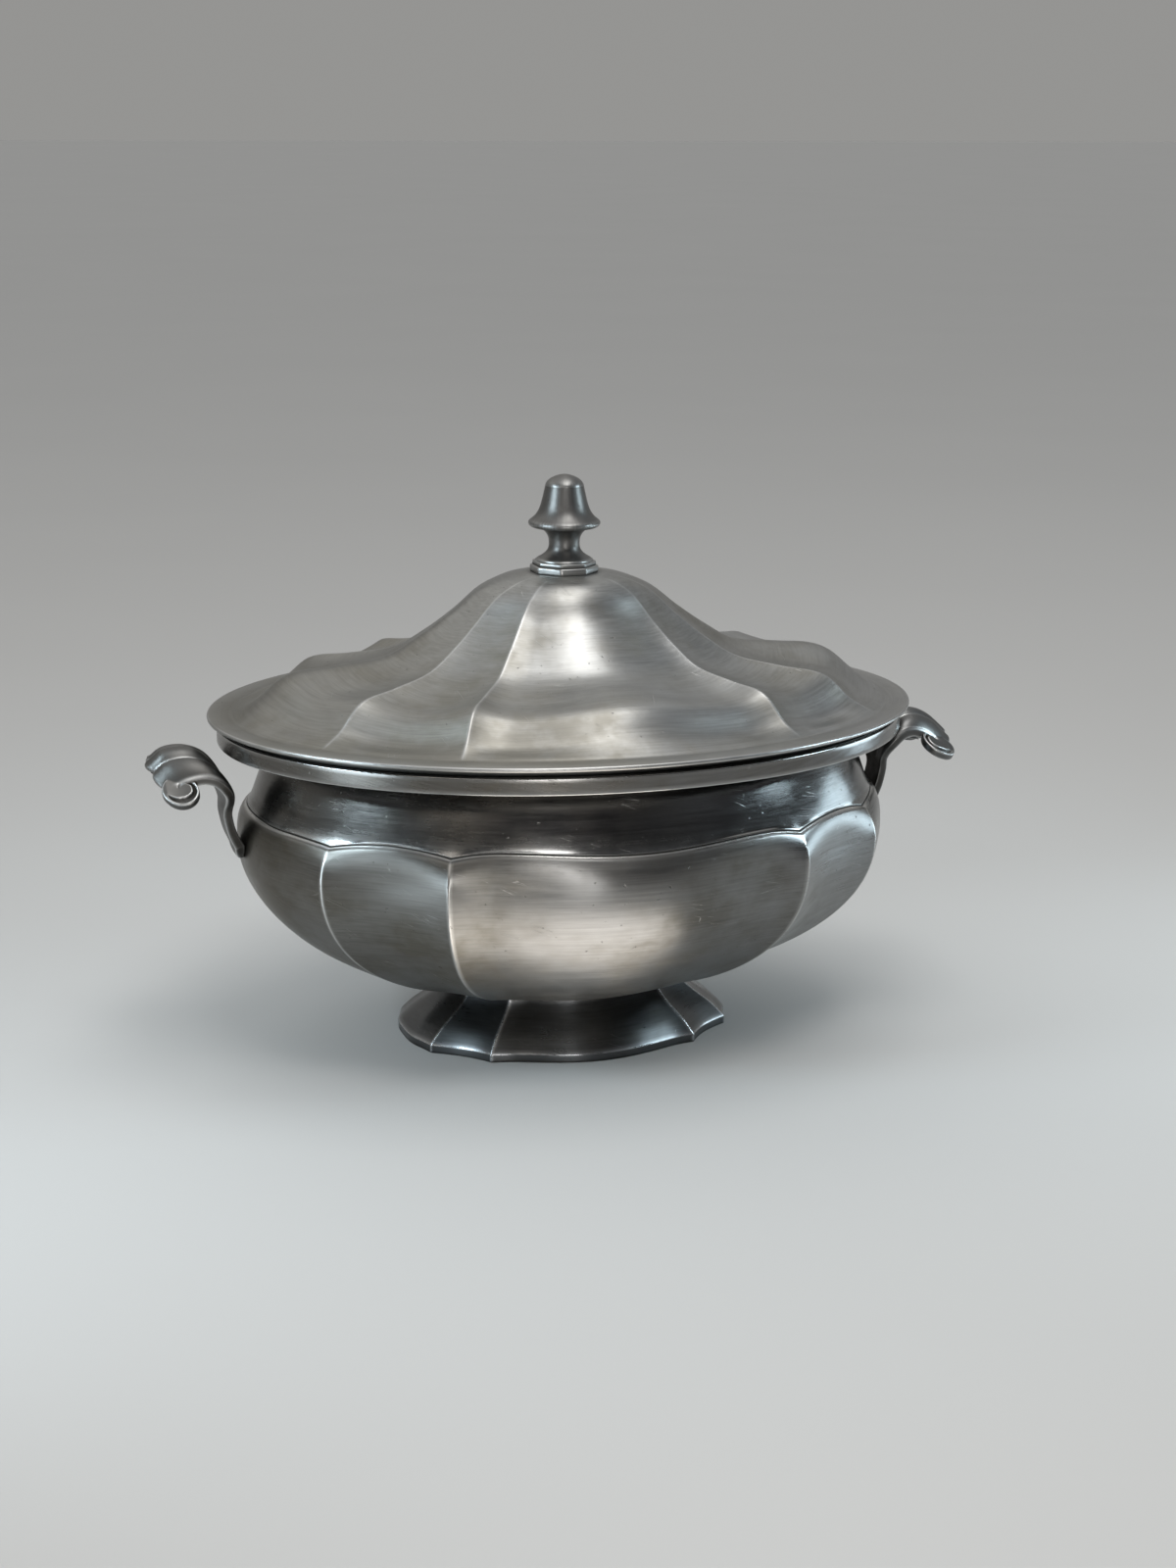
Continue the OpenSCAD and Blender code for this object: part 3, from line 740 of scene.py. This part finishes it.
handleLook = {
    "reach": 36.2 * mm,
    "rise": 27 * mm,  # over the bowl's edge
    "drop": 17.5 * mm,  # from the edge down to the tip of the tongue
    "tongue": 7 * mm,
    "widths": (8 * mm, 14.5 * mm, 32 * mm),  # tongue tip, strap, shell
    "thick": 3.6 * mm,
    "tongueThick": 4.4 * mm,
    "corner": 0.6 * mm,
    "ribs": 3,
    "ribRise": 2 * mm,
    "lobeReach": 2.5 * mm,
    "sag": 5 * mm,
    "back": 5 * mm,
    "archX": [0, 0.085, 0.13, 0.155, 0.25, 0.42, 0.61, 0.82, 1],
    "archZ": [0, 0.16, 0.33, 0.54, 0.75, 0.94, 1, 0.95, 0.81],
    "opening": 2.8,  # how fast the shell opens along the arch
    "openAt": (0.7, 0.8),  # when it opens, and when its ribs start
    "lobeFlat": 2.6,
    "tipRound": 4.5 * mm,
    "tipThin": 8 * mm,
    "endThin": 1.6 * mm,
    "thinOver": 18 * mm,  # from the tip to the strap's full thickness
    "voxel": 0.32 * mm,
    "soften": (0.5, 4),
    "line": 0.75 * mm,  # painted highlight lines between the lobes
    "shadeTo": 0.5,  # painted shade towards the bowl, up to this share of the reach
    "shadeOver": 6 * mm,
    "bendOver": (5 * mm, 36 * mm),  # from the bowl's end
    "bends": ((-3.5 * mm, -1.5), (4.3 * mm, 10)),  # lift of the shell's end and its twist, right and left
}
voluteLook = {
    "size": 15 * mm,
    "thick": 3.8 * mm,
    "tilt": 28,  # to the front or the back
    "dip": 13,  # to the end
    "place": (-8.5 * mm, 3 * mm, -2.5 * mm),  # in from the shell's end, out from its side, up
    "columns": 120,
    # back and rim: share of the radius, and depth as a share of the thickness
    "rim": [(0.02, 1), (0.5, 1), (0.9, 1), (0.95, 0.97), (0.985, 0.9), (1, 0.78), (1, 0.4), (1, 0.14),
            (0.99, 0.06), (0.97, 0.015)],
    "face": 0.95,
    "groove": 1.5 * mm,
    # spiral groove: degrees round from its outer end, place and width over the radius, share of its depth
    "grooveTurn": [15, 45, 90, 130, 165, 206, 247, 285],
    "grooveAt": [0.76, 0.7, 0.64, 0.69, 0.77, 0.79, 0.52, 0.16],
    "grooveWide": [0.05, 0.14, 0.19, 0.17, 0.12, 0.09, 0.08, 0.08],
    "grooveDeep": [0, 0.8, 1, 1, 1, 0.8, 0.6, 0.5],
}


def endX(z):
    return bowlHalf(z) - bowlDepth(z) * panels["middle"][0] + neckLook["seam"]


def handleLine():  # points (x, z, share of the tongue, share of the arch)
    h = handleLook
    tip = edgeZ - h["drop"]
    free = tip + h["tongue"]
    line = [(endX(mix(tip, free, t)), mix(tip, free, t), t, 0) for t in steps(14)[:-1]]
    rise = edgeZ + h["rise"] - free
    ledgeTop = edgeZ + bowlLook["scallop"] + neckLook["ledge"]
    for t in steps(110):
        x, z = endX(free) + h["reach"] * splineAt(h["archX"], t), free + rise * splineAt(h["archZ"], t)
        if z <= ledgeTop:
            x = max(x, endX(min(z, edgeZ)))
        line.append((x, z, 1, t))
    return line


def shellLobe(v):  # flat-topped lobes with sharp lines between them
    s = (v + 1) / 2 * handleLook["ribs"] % 1
    return 1 - abs(2 * s - 1) ** handleLook["lobeFlat"]


def strapSection(half, thick, corner):  # points (across, depth) round the section, from the top
    flat = half - corner
    arc = [(corner * cos(pi / 2 * t), corner * sin(pi / 2 * t)) for t in steps(5)]
    points = [(mix(-flat, flat, t), 0) for t in steps(60)]
    points += [(flat + c, corner - s) for c, s in arc[::-1][1:]]
    points += [(flat + c, thick - corner + s) for c, s in arc]
    points += [(mix(flat, -flat, t), thick) for t in steps(24)[1:]]
    points += [(-flat - c, thick - corner + s) for c, s in arc[::-1][1:]]
    points += [(-flat - c, corner - s) for c, s in arc[:-1]]
    return points


def strapRings():
    h = handleLook
    tip, strap, shell = h["widths"]
    line, runs = handleLine(), [0]
    for p, q in zip(line, line[1:]):
        runs.append(runs[-1] + hypot(q[0] - p[0], q[1] - p[1]))
    rings, seams, edges = [], [], []
    for i, (x, z, tongue, t) in enumerate(line):
        p, q = line[max(0, i - 2)], line[min(len(line) - 1, i + 2)]
        size = hypot(q[0] - p[0], q[1] - p[1])
        dx, dz = (q[0] - p[0]) / size, (q[1] - p[1]) / size
        opened, ribbed = (smooth(h["opening"] * t - start) for start in h["openAt"])
        half = (mix(tip, strap, smooth(tongue)) if t == 0 else mix(strap, shell, opened)) / 2
        fromTip, toEnd = runs[i], runs[-1] - runs[i]
        half *= sqrt(max(0.003, 1 - max(0, 1 - fromTip / h["tipRound"]) ** 2))
        tipThin = max(0.03, 1 - max(0, 1 - fromTip / h["tipThin"]) ** 2) ** 0.5
        endThin = max(0.02, 1 - max(0, 1 - toEnd / h["endThin"]) ** 2.5) ** 0.4
        thick = mix(h["tongueThick"], h["thick"], smooth(fromTip / h["thinOver"]))

        def placed(across, deep):
            v = across / half
            lobe = shellLobe(v)
            rib = h["ribRise"] * ribbed * lobe if deep == 0 else 0
            deep = (thick / 2 + (deep - thick / 2) * endThin) * tipThin - rib
            out, bow = h["lobeReach"] * lobe * opened ** 3, opened * v * v
            along = x + dz * deep + dx * out - h["back"] * bow
            return Vector((along, across, z - dx * deep + dz * out - h["sag"] * bow))

        points = [placed(*at) for at in strapSection(half, thick, min(h["corner"], 0.4 * half))]
        rings.append(bareRing(points))
        if ribbed > 0.05:
            seams.append([placed(half * v, 0) for v in (-0.98, -1 / 3, 1 / 3, 0.98)])
        edges.append([placed(half * v, thick) for v in (-0.97, 0.97)])
    for ring, row in ((rings[0], 0), (rings[-1], len(rings) + 1)):  # ends closed
        middle = sum(ring["points"], Vector()) / len(ring["points"])
        rings.insert(row, bareRing([middle] * len(ring["points"])))
    return rings, (seams, edges), line[-1]


def grooveDepth(share, degrees):
    v = voluteLook
    turns = v["grooveTurn"]
    if not turns[0] <= degrees <= turns[-1]:
        return 0
    i = max(k for k in range(len(turns) - 1) if turns[k] <= degrees)
    t = (degrees - turns[i]) / (turns[i + 1] - turns[i])
    at, wide, deep = (mix(v[key][i], v[key][i + 1], t) for key in ("grooveAt", "grooveWide", "grooveDeep"))
    return deep * max(0, 1 - abs((share - at) / wide) ** 2.5)


def voluteRings(side, end):
    v = voluteLook
    radius, thick, columns, face = v["size"] / 2, v["thick"], v["columns"], v["face"]
    inward, outward, up = v["place"]
    dip, tilt = radians(v["dip"]), radians(-side * v["tilt"])
    turnIt = Matrix.Rotation(dip, 4, "Y") @ Matrix.Rotation(tilt, 4, "X")
    middle = Vector((end[0] + inward, side * (handleLook["widths"][2] / 2 + outward), end[1] + up))
    rows = [(share, -down * thick) for share, down in v["rim"]]
    rows += [(face - face * t * 0.98, 0) for t in steps(48)]
    rings = []
    for share, rise in rows:
        points, reach = [], radius * share
        for k in range(columns):
            turn = 2 * pi * k / columns
            height = rise
            if rise == 0:
                height -= v["groove"] * grooveDepth(share, 360 * k * side / columns % 360)
            points.append(middle + turnIt @ Vector((reach * cos(turn), reach * sin(turn), height)))
        rings.append(bareRing(points))
    return rings


def paintSeamLinesAndShade(piece, seams):  # painted highlight lines between the lobes, worn bright lines along the edges of the shell, and painted shade on the sides and towards the bowl
    h, shares = handleLook, (0, 0.25, 0.5, 0.75)
    tree = KDTree(sum(len(shares) * len(row) for rows in seams for row in rows))
    for rows in seams:
        for low, high in zip(rows, rows[1:]):
            for p, q in zip(low, high):
                for t in shares:
                    tree.insert(p.lerp(q, t), 0)
    tree.balance()
    wear, grime = piece.data.attributes["wear"].data, piece.data.attributes["grime"].data
    shade = endX(edgeZ) + h["shadeTo"] * h["reach"]
    for i, vertex in enumerate(piece.data.vertices):
        away = tree.find(vertex.co)[2]
        # painted highlight lines between the lobes, worn lines along the edges
        if away and away < 3 * h["line"]:
            line = exp(-(away / h["line"]) ** 2)
            wear[i].value = max(wear[i].value, 0.95 * line)
            grime[i].value *= 1 - line
        # painted shade on the side faces and on faces turned towards the bowl
        towards, aside = -vertex.normal.x, abs(vertex.normal.y)
        paintedShade = max(0.95 * smooth(2 * towards - 0.4), 0.6 * smooth(2.5 * aside - 1.2))
        paintedShade *= smooth((shade - vertex.co.x) / h["shadeOver"])
        grime[i].value = max(grime[i].value, paintedShade)


def bendShell(piece, lift, twist):  # soft castings, bent a little in use
    start, end = (endX(edgeZ) + out for out in handleLook["bendOver"])
    axis = Vector((0, 0, edgeZ + handleLook["rise"]))
    for vertex in piece.data.vertices:
        share = min(1, max(0, (abs(vertex.co.x) - start) / (end - start)))
        turn = Matrix.Rotation(radians(twist) * smooth(share), 3, "X")
        vertex.co = axis + turn @ (vertex.co - axis) + Vector((0, 0, lift * share ** 2))


def buildHandles():
    h = handleLook
    rings, seams, end = strapRings()
    strap = loftRings("right_shell_handle", rings)
    volutes = [loftRings("volute", voluteRings(side, end)) for side in (-1, 1)]
    selectNone()
    for part in volutes + [strap]:
        part.select_set(True)
    bpy.context.view_layer.objects.active = strap
    bpy.ops.object.join()
    remesh = strap.modifiers.new("cast", "REMESH")
    remesh.voxel_size = h["voxel"]
    bpy.ops.object.modifier_apply(modifier="cast")
    soften = strap.modifiers.new("soften", "SMOOTH")
    soften.factor, soften.iterations = h["soften"]
    bpy.ops.object.modifier_apply(modifier="soften")
    bpy.ops.object.shade_smooth()
    markSurface(strap)
    paintSeamLinesAndShade(strap, seams)
    bpy.ops.object.duplicate()
    other = named("left_shell_handle")
    setMode("EDIT")
    selectFaces()
    bpy.ops.transform.resize(value=(-1, 1, 1), center_override=(0, 0, 0))
    turnOut()
    setMode("OBJECT")
    for piece, (lift, twist) in zip((strap, other), h["bends"]):
        bendShell(piece, lift, twist)
    print("handles cast", len(strap.data.polygons), "faces each")
    return strap, other


# finishes

def groupOf(name, inputs, outputs):  # names of the sockets by their kind
    group = bpy.data.node_groups.new(name, "ShaderNodeTree")
    for sockets, direction in ((inputs, "INPUT"), (outputs, "OUTPUT")):
        for kind, labels in sockets.items():
            for label in labels:
                group.interface.new_socket(name=label, in_out=direction, socket_type="NodeSocket" + kind)
    return group


def setInputs(node, values):
    for key, value in values.items():
        node.inputs[key].default_value = value


def nodeMaker(tree):
    def make(kind, inputs={}, **values):
        node = tree.nodes.new("ShaderNode" + kind)
        setInputs(node, inputs)
        for key, value in values.items():
            setattr(node, key, value)
        return node
    return make


def wire(tree, *pairs):
    for source, target in pairs:
        tree.links.new(source, target)


def newMaterial(name):
    material = bpy.data.materials.new(name)
    material.use_nodes = True
    tree = material.node_tree
    return material, tree, nodeMaker(tree), tree.nodes["Principled BSDF"]


def dress(piece, material):
    piece.data.materials.clear()
    piece.data.materials.append(material)


pewterLook = {
    "fine": (75, 75, 1300),  # scales of the noises: brush lines, then clouds, mottling and spots
    "broad": (25, 25, 480),
    "cloud": (11, 11, 14),
    "mottle": (70, 70, 90),
    "spots": (420, 420, 420),
    "scratchTurn": (0.35, 0.2, 0.4),
    "scratchSize": (0.055, 0.055, 0.004),
    "lineTone": (0.6, 0.22),  # fine and broad brush lines in the tone, and in the relief
    "lineRise": (0.03, 0.025),
    "dirtAndShade": (0.035, 0.03, 0.024, 1),
    "rough": (0.14, 0.22, 0.12, -0.08),  # what patina, brush lines, mottling and polish add
    "dirtAndShadeRough": 0.35,
    "relief": (0.35, -0.8, -0.25),  # what mottling, pits and scratches add
}


def pewterGroup(look):
    group = groupOf("brushedPewter", {
        "Vector": ("Place", "Lay"), "Color": ("Metal", "Patina", "Worn"),
        "Float": ("Wear", "Grime", "Patina Share", "Brush", "Rough", "Pits"),
    }, {"Color": ("Color",), "Float": ("Roughness", "Height")})
    make = nodeMaker(group)
    given, result = (group.nodes.new("NodeGroup" + side) for side in ("Input", "Output"))
    at = given.outputs

    def stretched(source, scale, detail, rough=0.55):
        wide = make("VectorMath", {1: scale}, operation="MULTIPLY")
        noise = make("TexNoise", {"Scale": 1, "Detail": detail, "Roughness": rough})
        wire(group, (source, wide.inputs[0]), (wide.outputs[0], noise.inputs["Vector"]))
        return noise.outputs["Fac"]

    def ranged(source, low, high, toLow=0, toHigh=1):
        node = make("MapRange", {1: low, 2: high, 3: toLow, 4: toHigh}, interpolation_type="SMOOTHSTEP")
        wire(group, (source, node.inputs[0]))
        return node.outputs[0]

    def feed(socket, value):  # a number, a colour or a node's output
        if isinstance(value, (int, float, tuple)):
            socket.default_value = value
        else:
            wire(group, (value, socket))

    def calc(operation, first, second, clamp=False):
        node = make("Math", operation=operation, use_clamp=clamp)
        feed(node.inputs[0], first)
        feed(node.inputs[1], second)
        return node.outputs[0]

    def blendColors(share, low, high):
        node = make("Mix", data_type="RGBA")
        for i, value in ((0, share), (6, low), (7, high)):
            feed(node.inputs[i], value)
        return node.outputs[2]

    times, plus, minus, larger = (partial(calc, kind) for kind in ("MULTIPLY", "ADD", "SUBTRACT", "MAXIMUM"))
    place, lay = at["Place"], at["Lay"]
    fine, broad = stretched(lay, look["fine"], 3), stretched(lay, look["broad"], 3)
    cloud = stretched(place, look["cloud"], 5, 0.62)
    mottle = stretched(place, look["mottle"], 4, 0.6)
    spots = stretched(place, look["spots"], 2)
    # short scratches at a slant
    tilt = make("Mapping", vector_type="TEXTURE")
    setInputs(tilt, {"Rotation": look["scratchTurn"], "Scale": look["scratchSize"]})
    cells = make("TexVoronoi", feature="DISTANCE_TO_EDGE")
    setInputs(cells, {"Scale": 1})
    wire(group, (place, tilt.inputs["Vector"]), (tilt.outputs[0], cells.inputs["Vector"]))
    scratch = times(ranged(cells.outputs["Distance"], 0.008, 0), ranged(mottle, 0.56, 0.68))

    patina = times(ranged(cloud, 0.38, 0.66), ranged(mottle, 0.25, 0.7, 0.45, 1))
    ends = make("SeparateXYZ")
    wire(group, (place, ends.inputs[0]))
    leftPatinaAndShade = ranged(ends.outputs["X"], 0.06, -0.14, 0, 0.75)  # more patina and painted shade towards the left end
    patina = times(plus(patina, leftPatinaAndShade), at["Patina Share"], True)
    pit = times(ranged(spots, 0.71, 0.77), at["Pits"])
    color = blendColors(patina, at["Metal"], at["Patina"])
    fineTone, broadTone = look["lineTone"]
    streak = plus(times(minus(fine, 0.5), fineTone), times(minus(broad, 0.5), broadTone))
    streak = times(streak, at["Brush"])
    tone = make("HueSaturation")
    wire(group, (color, tone.inputs["Color"]), (plus(1, streak), tone.inputs["Value"]))
    polished = larger(times(at["Wear"], ranged(mottle, 0.2, 0.6, 0.55, 1)), times(scratch, 0.4))
    color = blendColors(polished, tone.outputs[0], at["Worn"])
    # painted shade and dirt from the mark, and dark pits
    dirtAndShade = larger(times(at["Grime"], ranged(mottle, 0.2, 0.65, 0.6, 1)), times(pit, 0.8))
    color = blendColors(dirtAndShade, color, look["dirtAndShade"])

    rough = at["Rough"]
    for source, share in zip((patina, streak, minus(mottle, 0.5), polished), look["rough"]):
        rough = plus(rough, times(source, share))
    rough = plus(rough, times(dirtAndShade, look["dirtAndShadeRough"]), True)

    fineRise, broadRise = look["lineRise"]
    height = times(plus(times(fine, fineRise), times(broad, broadRise)), at["Brush"])
    for source, share in zip((mottle, pit, scratch), look["relief"]):
        height = plus(height, times(source, share))
    wire(group, (color, result.inputs["Color"]), (rough, result.inputs["Roughness"]),
         (height, result.inputs["Height"]))
    return group


pewterNodes = pewterGroup(pewterLook)

# three colours, then shares and strengths; darker metal on the foot, the neck with its rim and the bezel is
# painted shade
finishKeys = "Metal", "Patina", "Worn", "Patina Share", "Brush", "Rough", "Pits", "bump", "pull"
finishes = {
    "bowlPewter": ((0.225, 0.226, 0.225, 1), (0.125, 0.115, 0.096, 1), (0.62, 0.61, 0.59, 1),
        0.8, 1, 0.29, 0.5, 0.42, 0.75),
    "neckPewterShaded": ((0.185, 0.187, 0.188, 1), (0.12, 0.108, 0.09, 1), (0.56, 0.56, 0.55, 1),
        0.6, 0.9, 0.17, 0.3, 0.3, 0),
    "lidPewter": ((0.35, 0.352, 0.35, 1), (0.225, 0.215, 0.19, 1), (0.55, 0.55, 0.545, 1),
        0.95, 0.9, 0.3, 0.5, 0.42, 0.5),
    "footPewterShaded": ((0.11, 0.117, 0.123, 1), (0.065, 0.062, 0.058, 1), (0.6, 0.61, 0.62, 1),
        0.7, 1, 0.26, 0.3, 0.3, 0.75),
    "castPewter": ((0.128, 0.128, 0.126, 1), (0.085, 0.081, 0.075, 1), (0.6, 0.6, 0.59, 1),
        0.6, 0.25, 0.36, 0.3, 0.16, 0.3),
    "knobPewter": ((0.17, 0.168, 0.164, 1), (0.11, 0.103, 0.093, 1), (0.46, 0.46, 0.45, 1),
        0.6, 0.3, 0.36, 0.3, 0.16, 0.3),
    "bezelPewterShaded": ((0.05, 0.049, 0.047, 1), (0.03, 0.028, 0.024, 1), (0.12, 0.12, 0.115, 1),
        0.8, 0.4, 0.45, 0.3, 0.16, 0.3),
    "studBrass": ((0.44, 0.32, 0.14, 1), (0.23, 0.16, 0.07, 1), (0.7, 0.55, 0.3, 1),
        0.8, 0.4, 0.36, 0.4, 0.15, 0.3),
}


def metalFinish(name, marked=True):
    look = dict(zip(finishKeys, finishes[name]))
    material, tree, make, shader = newMaterial(name)
    # brush lines run round the piece
    setInputs(shader, {"Metallic": 1, "Anisotropic": look["pull"], "Anisotropic Rotation": 0.25})
    around = make("Tangent", direction_type="RADIAL", axis="Z")
    group = make("Group", node_tree=pewterNodes)
    setInputs(group, {key: look[key] for key in finishKeys[:-2]})
    place = make("TexCoord")
    wire(tree, (place.outputs["Object"], group.inputs["Place"]))
    if marked:
        for label, output in (("lay", "Vector"), ("wear", "Fac"), ("grime", "Fac")):
            mark = make("Attribute", attribute_name=label)
            wire(tree, (mark.outputs[output], group.inputs[label.capitalize()]))
    else:
        wire(tree, (place.outputs["Object"], group.inputs["Lay"]))
    bump = make("Bump", {"Strength": look["bump"], "Distance": 0.6 * mm})
    out, into = group.outputs, shader.inputs
    wire(tree, (out["Color"], into["Base Color"]), (out["Roughness"], into["Roughness"]),
         (out["Height"], bump.inputs["Height"]), (bump.outputs[0], into["Normal"]),
         (around.outputs[0], into["Tangent"]))
    return material


# pieces onto their bodies

def settle(piece, node, body, finish):
    dress(piece, metals[finish])
    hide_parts(node)
    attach(piece, body)


metals = {name: metalFinish(name) for name in finishes if name != "studBrass"}
rightHandle, leftHandle = buildHandles()
settle(buildFoot(), "foot", "base", "footPewterShaded")
settle(buildBowl(), "lobed_bowl", "base", "bowlPewter")
settle(buildNeck(), "neck_collar", "base", "neckPewterShaded")
settle(buildRim(), "rim_band", "base", "neckPewterShaded")
settle(rightHandle, "right_handle", "base", "castPewter")
settle(leftHandle, "left_handle", "base", "castPewter")
settle(buildLid(), "lid", "lid", "lidPewter")
settle(buildBezel(), "lid_bezel", "lid", "bezelPewterShaded")
settle(buildPlate(), "finial_base", "lid", "knobPewter")
settle(buildKnob(), "finial_knob", "lid", "knobPewter")
brass = metalFinish("studBrass", marked=False)
for node in ("finial_stud", "finial_washer", "finial_nut"):
    dress(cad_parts[node], brass)
print("pieces settled on their bodies")


# floor, world and lamps

stageLook = {
    "floor": (0.56, 0.556, 0.545, 1),
    "back": (0.3, 0.298, 0.29),  # behind the object
    "backHigh": (0.8, 0.795, 0.77),
    "above": (0.84, 0.85, 0.86),
    "right": (0.36, 0.375, 0.39),  # high on the right
    "front": (0.05, 0.05, 0.052),  # the side the camera stands on
    "floorSize": 40,
}


def buildStage(look):
    selectNone()
    bpy.ops.mesh.primitive_plane_add(size=look["floorSize"])
    floor = named("floor")
    setMode("EDIT")
    selectFaces()
    bpy.ops.mesh.subdivide(number_cuts=3)
    setMode("OBJECT")
    material, tree, make, shader = newMaterial("paleFloor")
    setInputs(shader, {"Roughness": 0.75, "Specular IOR Level": 0.2})
    place, grain = make("TexCoord"), make("TexNoise", {"Scale": 3})
    darker = tuple(0.96 * c for c in look["floor"][:3]) + (1,)
    tint = make("Mix", data_type="RGBA")
    setInputs(tint, {6: look["floor"], 7: darker})
    wire(tree, (place.outputs["Object"], grain.inputs["Vector"]), (grain.outputs["Fac"], tint.inputs[0]),
         (tint.outputs[2], shader.inputs["Base Color"]))
    dress(floor, material)


def buildWorld(look):
    world = scene.world or bpy.data.worlds.new("world")
    scene.world = world
    world.use_nodes = True
    tree = world.node_tree
    make = nodeMaker(tree)
    place, split = make("TexCoord"), make("SeparateXYZ")
    wire(tree, (place.outputs["Generated"], split.inputs[0]))

    def share(axis, low, high):
        node = make("MapRange", {1: low, 2: high}, interpolation_type="SMOOTHSTEP")
        wire(tree, (split.outputs[axis], node.inputs[0]))
        return node.outputs[0]

    def both(first, second):
        node = make("Math", operation="MULTIPLY")
        wire(tree, (first, node.inputs[0]), (second, node.inputs[1]))
        return node.outputs[0]

    behind = share("Y", -0.35, 0.45)
    amounts = {"back": behind, "backHigh": both(behind, share("Z", 0.25, 0.6)),
               "above": share("Z", 0.66, 0.96), "right": both(share("X", 0.2, 0.7), share("Z", 0.3, 0.55))}
    tint = None
    for key, amount in amounts.items():
        blend = make("Mix", data_type="RGBA")
        setInputs(blend, {6: look["front"] + (1,), 7: look[key] + (1,)})
        wire(tree, (amount, blend.inputs[0]))
        if tint:
            wire(tree, (tint, blend.inputs[6]))
        tint = blend.outputs[2]
    wire(tree, (tint, tree.nodes["Background"].inputs["Color"]))


def addLamp(name, place, aim, size, glow, color, spread=180):  # glow is the brightness seen along its aim
    lamp = bpy.data.objects.new(name, bpy.data.lights.new(name, "AREA"))
    lamp.data.shape = "ELLIPSE"
    lamp.data.size, lamp.data.size_y = size
    lamp.data.energy = glow * pi ** 2 / 4 * size[0] * size[1]
    if spread < 180:
        half = radians(spread / 2)
        lamp.data.spread = 2 * half
        lamp.data.energy *= 1 - half / tan(half)
    lamp.data.color = color
    lamp.visible_camera = False
    way = Vector(place) - Vector(aim)
    lamp.matrix_world = Matrix.Translation(place) @ way.to_track_quat("Z", "Y").to_matrix().to_4x4()
    bpy.context.collection.objects.link(lamp)


# place, aim, width and height, brightness, colour, and a spread that keeps low lamps off the floor
lamps = {
    "topLamp": ((0.03, -0.79, 1.65), (0, 0, 0.12), (0.6, 0.6), 6.4, (1, 0.995, 0.985)),
    "skyLamp": ((0.19, -0.11, 1.82), (0, 0, 0.12), (1, 0.75), 3.5, (1, 1, 0.99)),
    "leftWindow": ((-0.561, -0.13, 0.42), (0, 0, 0.12), (0.24, 0.13), 24, (0.72, 0.89, 1), 110),
    "leftLow": ((-0.54, -0.24, 0.1), (0, 0, 0.1), (0.28, 0.18), 5, (0.76, 0.9, 1), 110),
    "rightWindow": ((0.56, -0.23, 0.36), (0, 0, 0.12), (0.22, 0.13), 16, (0.72, 0.9, 1), 110),
    "rightLow": ((0.58, -0.03, 0.1), (0, 0, 0.1), (0.3, 0.16), 4.8, (0.72, 0.9, 1), 110),
    "frontWindow": ((-0.156, -0.988, 0.19), (0, 0, 0.15), (0.26, 0.35), 7.5, (1, 0.99, 0.98), 110),
    "leftFill": ((-0.64, -0.78, 0.76), (0, 0, 0.12), (0.6, 0.22), 2, (1, 0.94, 0.87)),
    "lowFill": ((-0.02, -0.15, 0.003), (-0.02, -0.15, 1), (0.18, 0.12), 3.2, (1, 0.94, 0.87)),
}
buildStage(stageLook)
buildWorld(stageLook)
for lampName, values in lamps.items():
    addLamp(lampName, *values)
print("stage and lamps set")
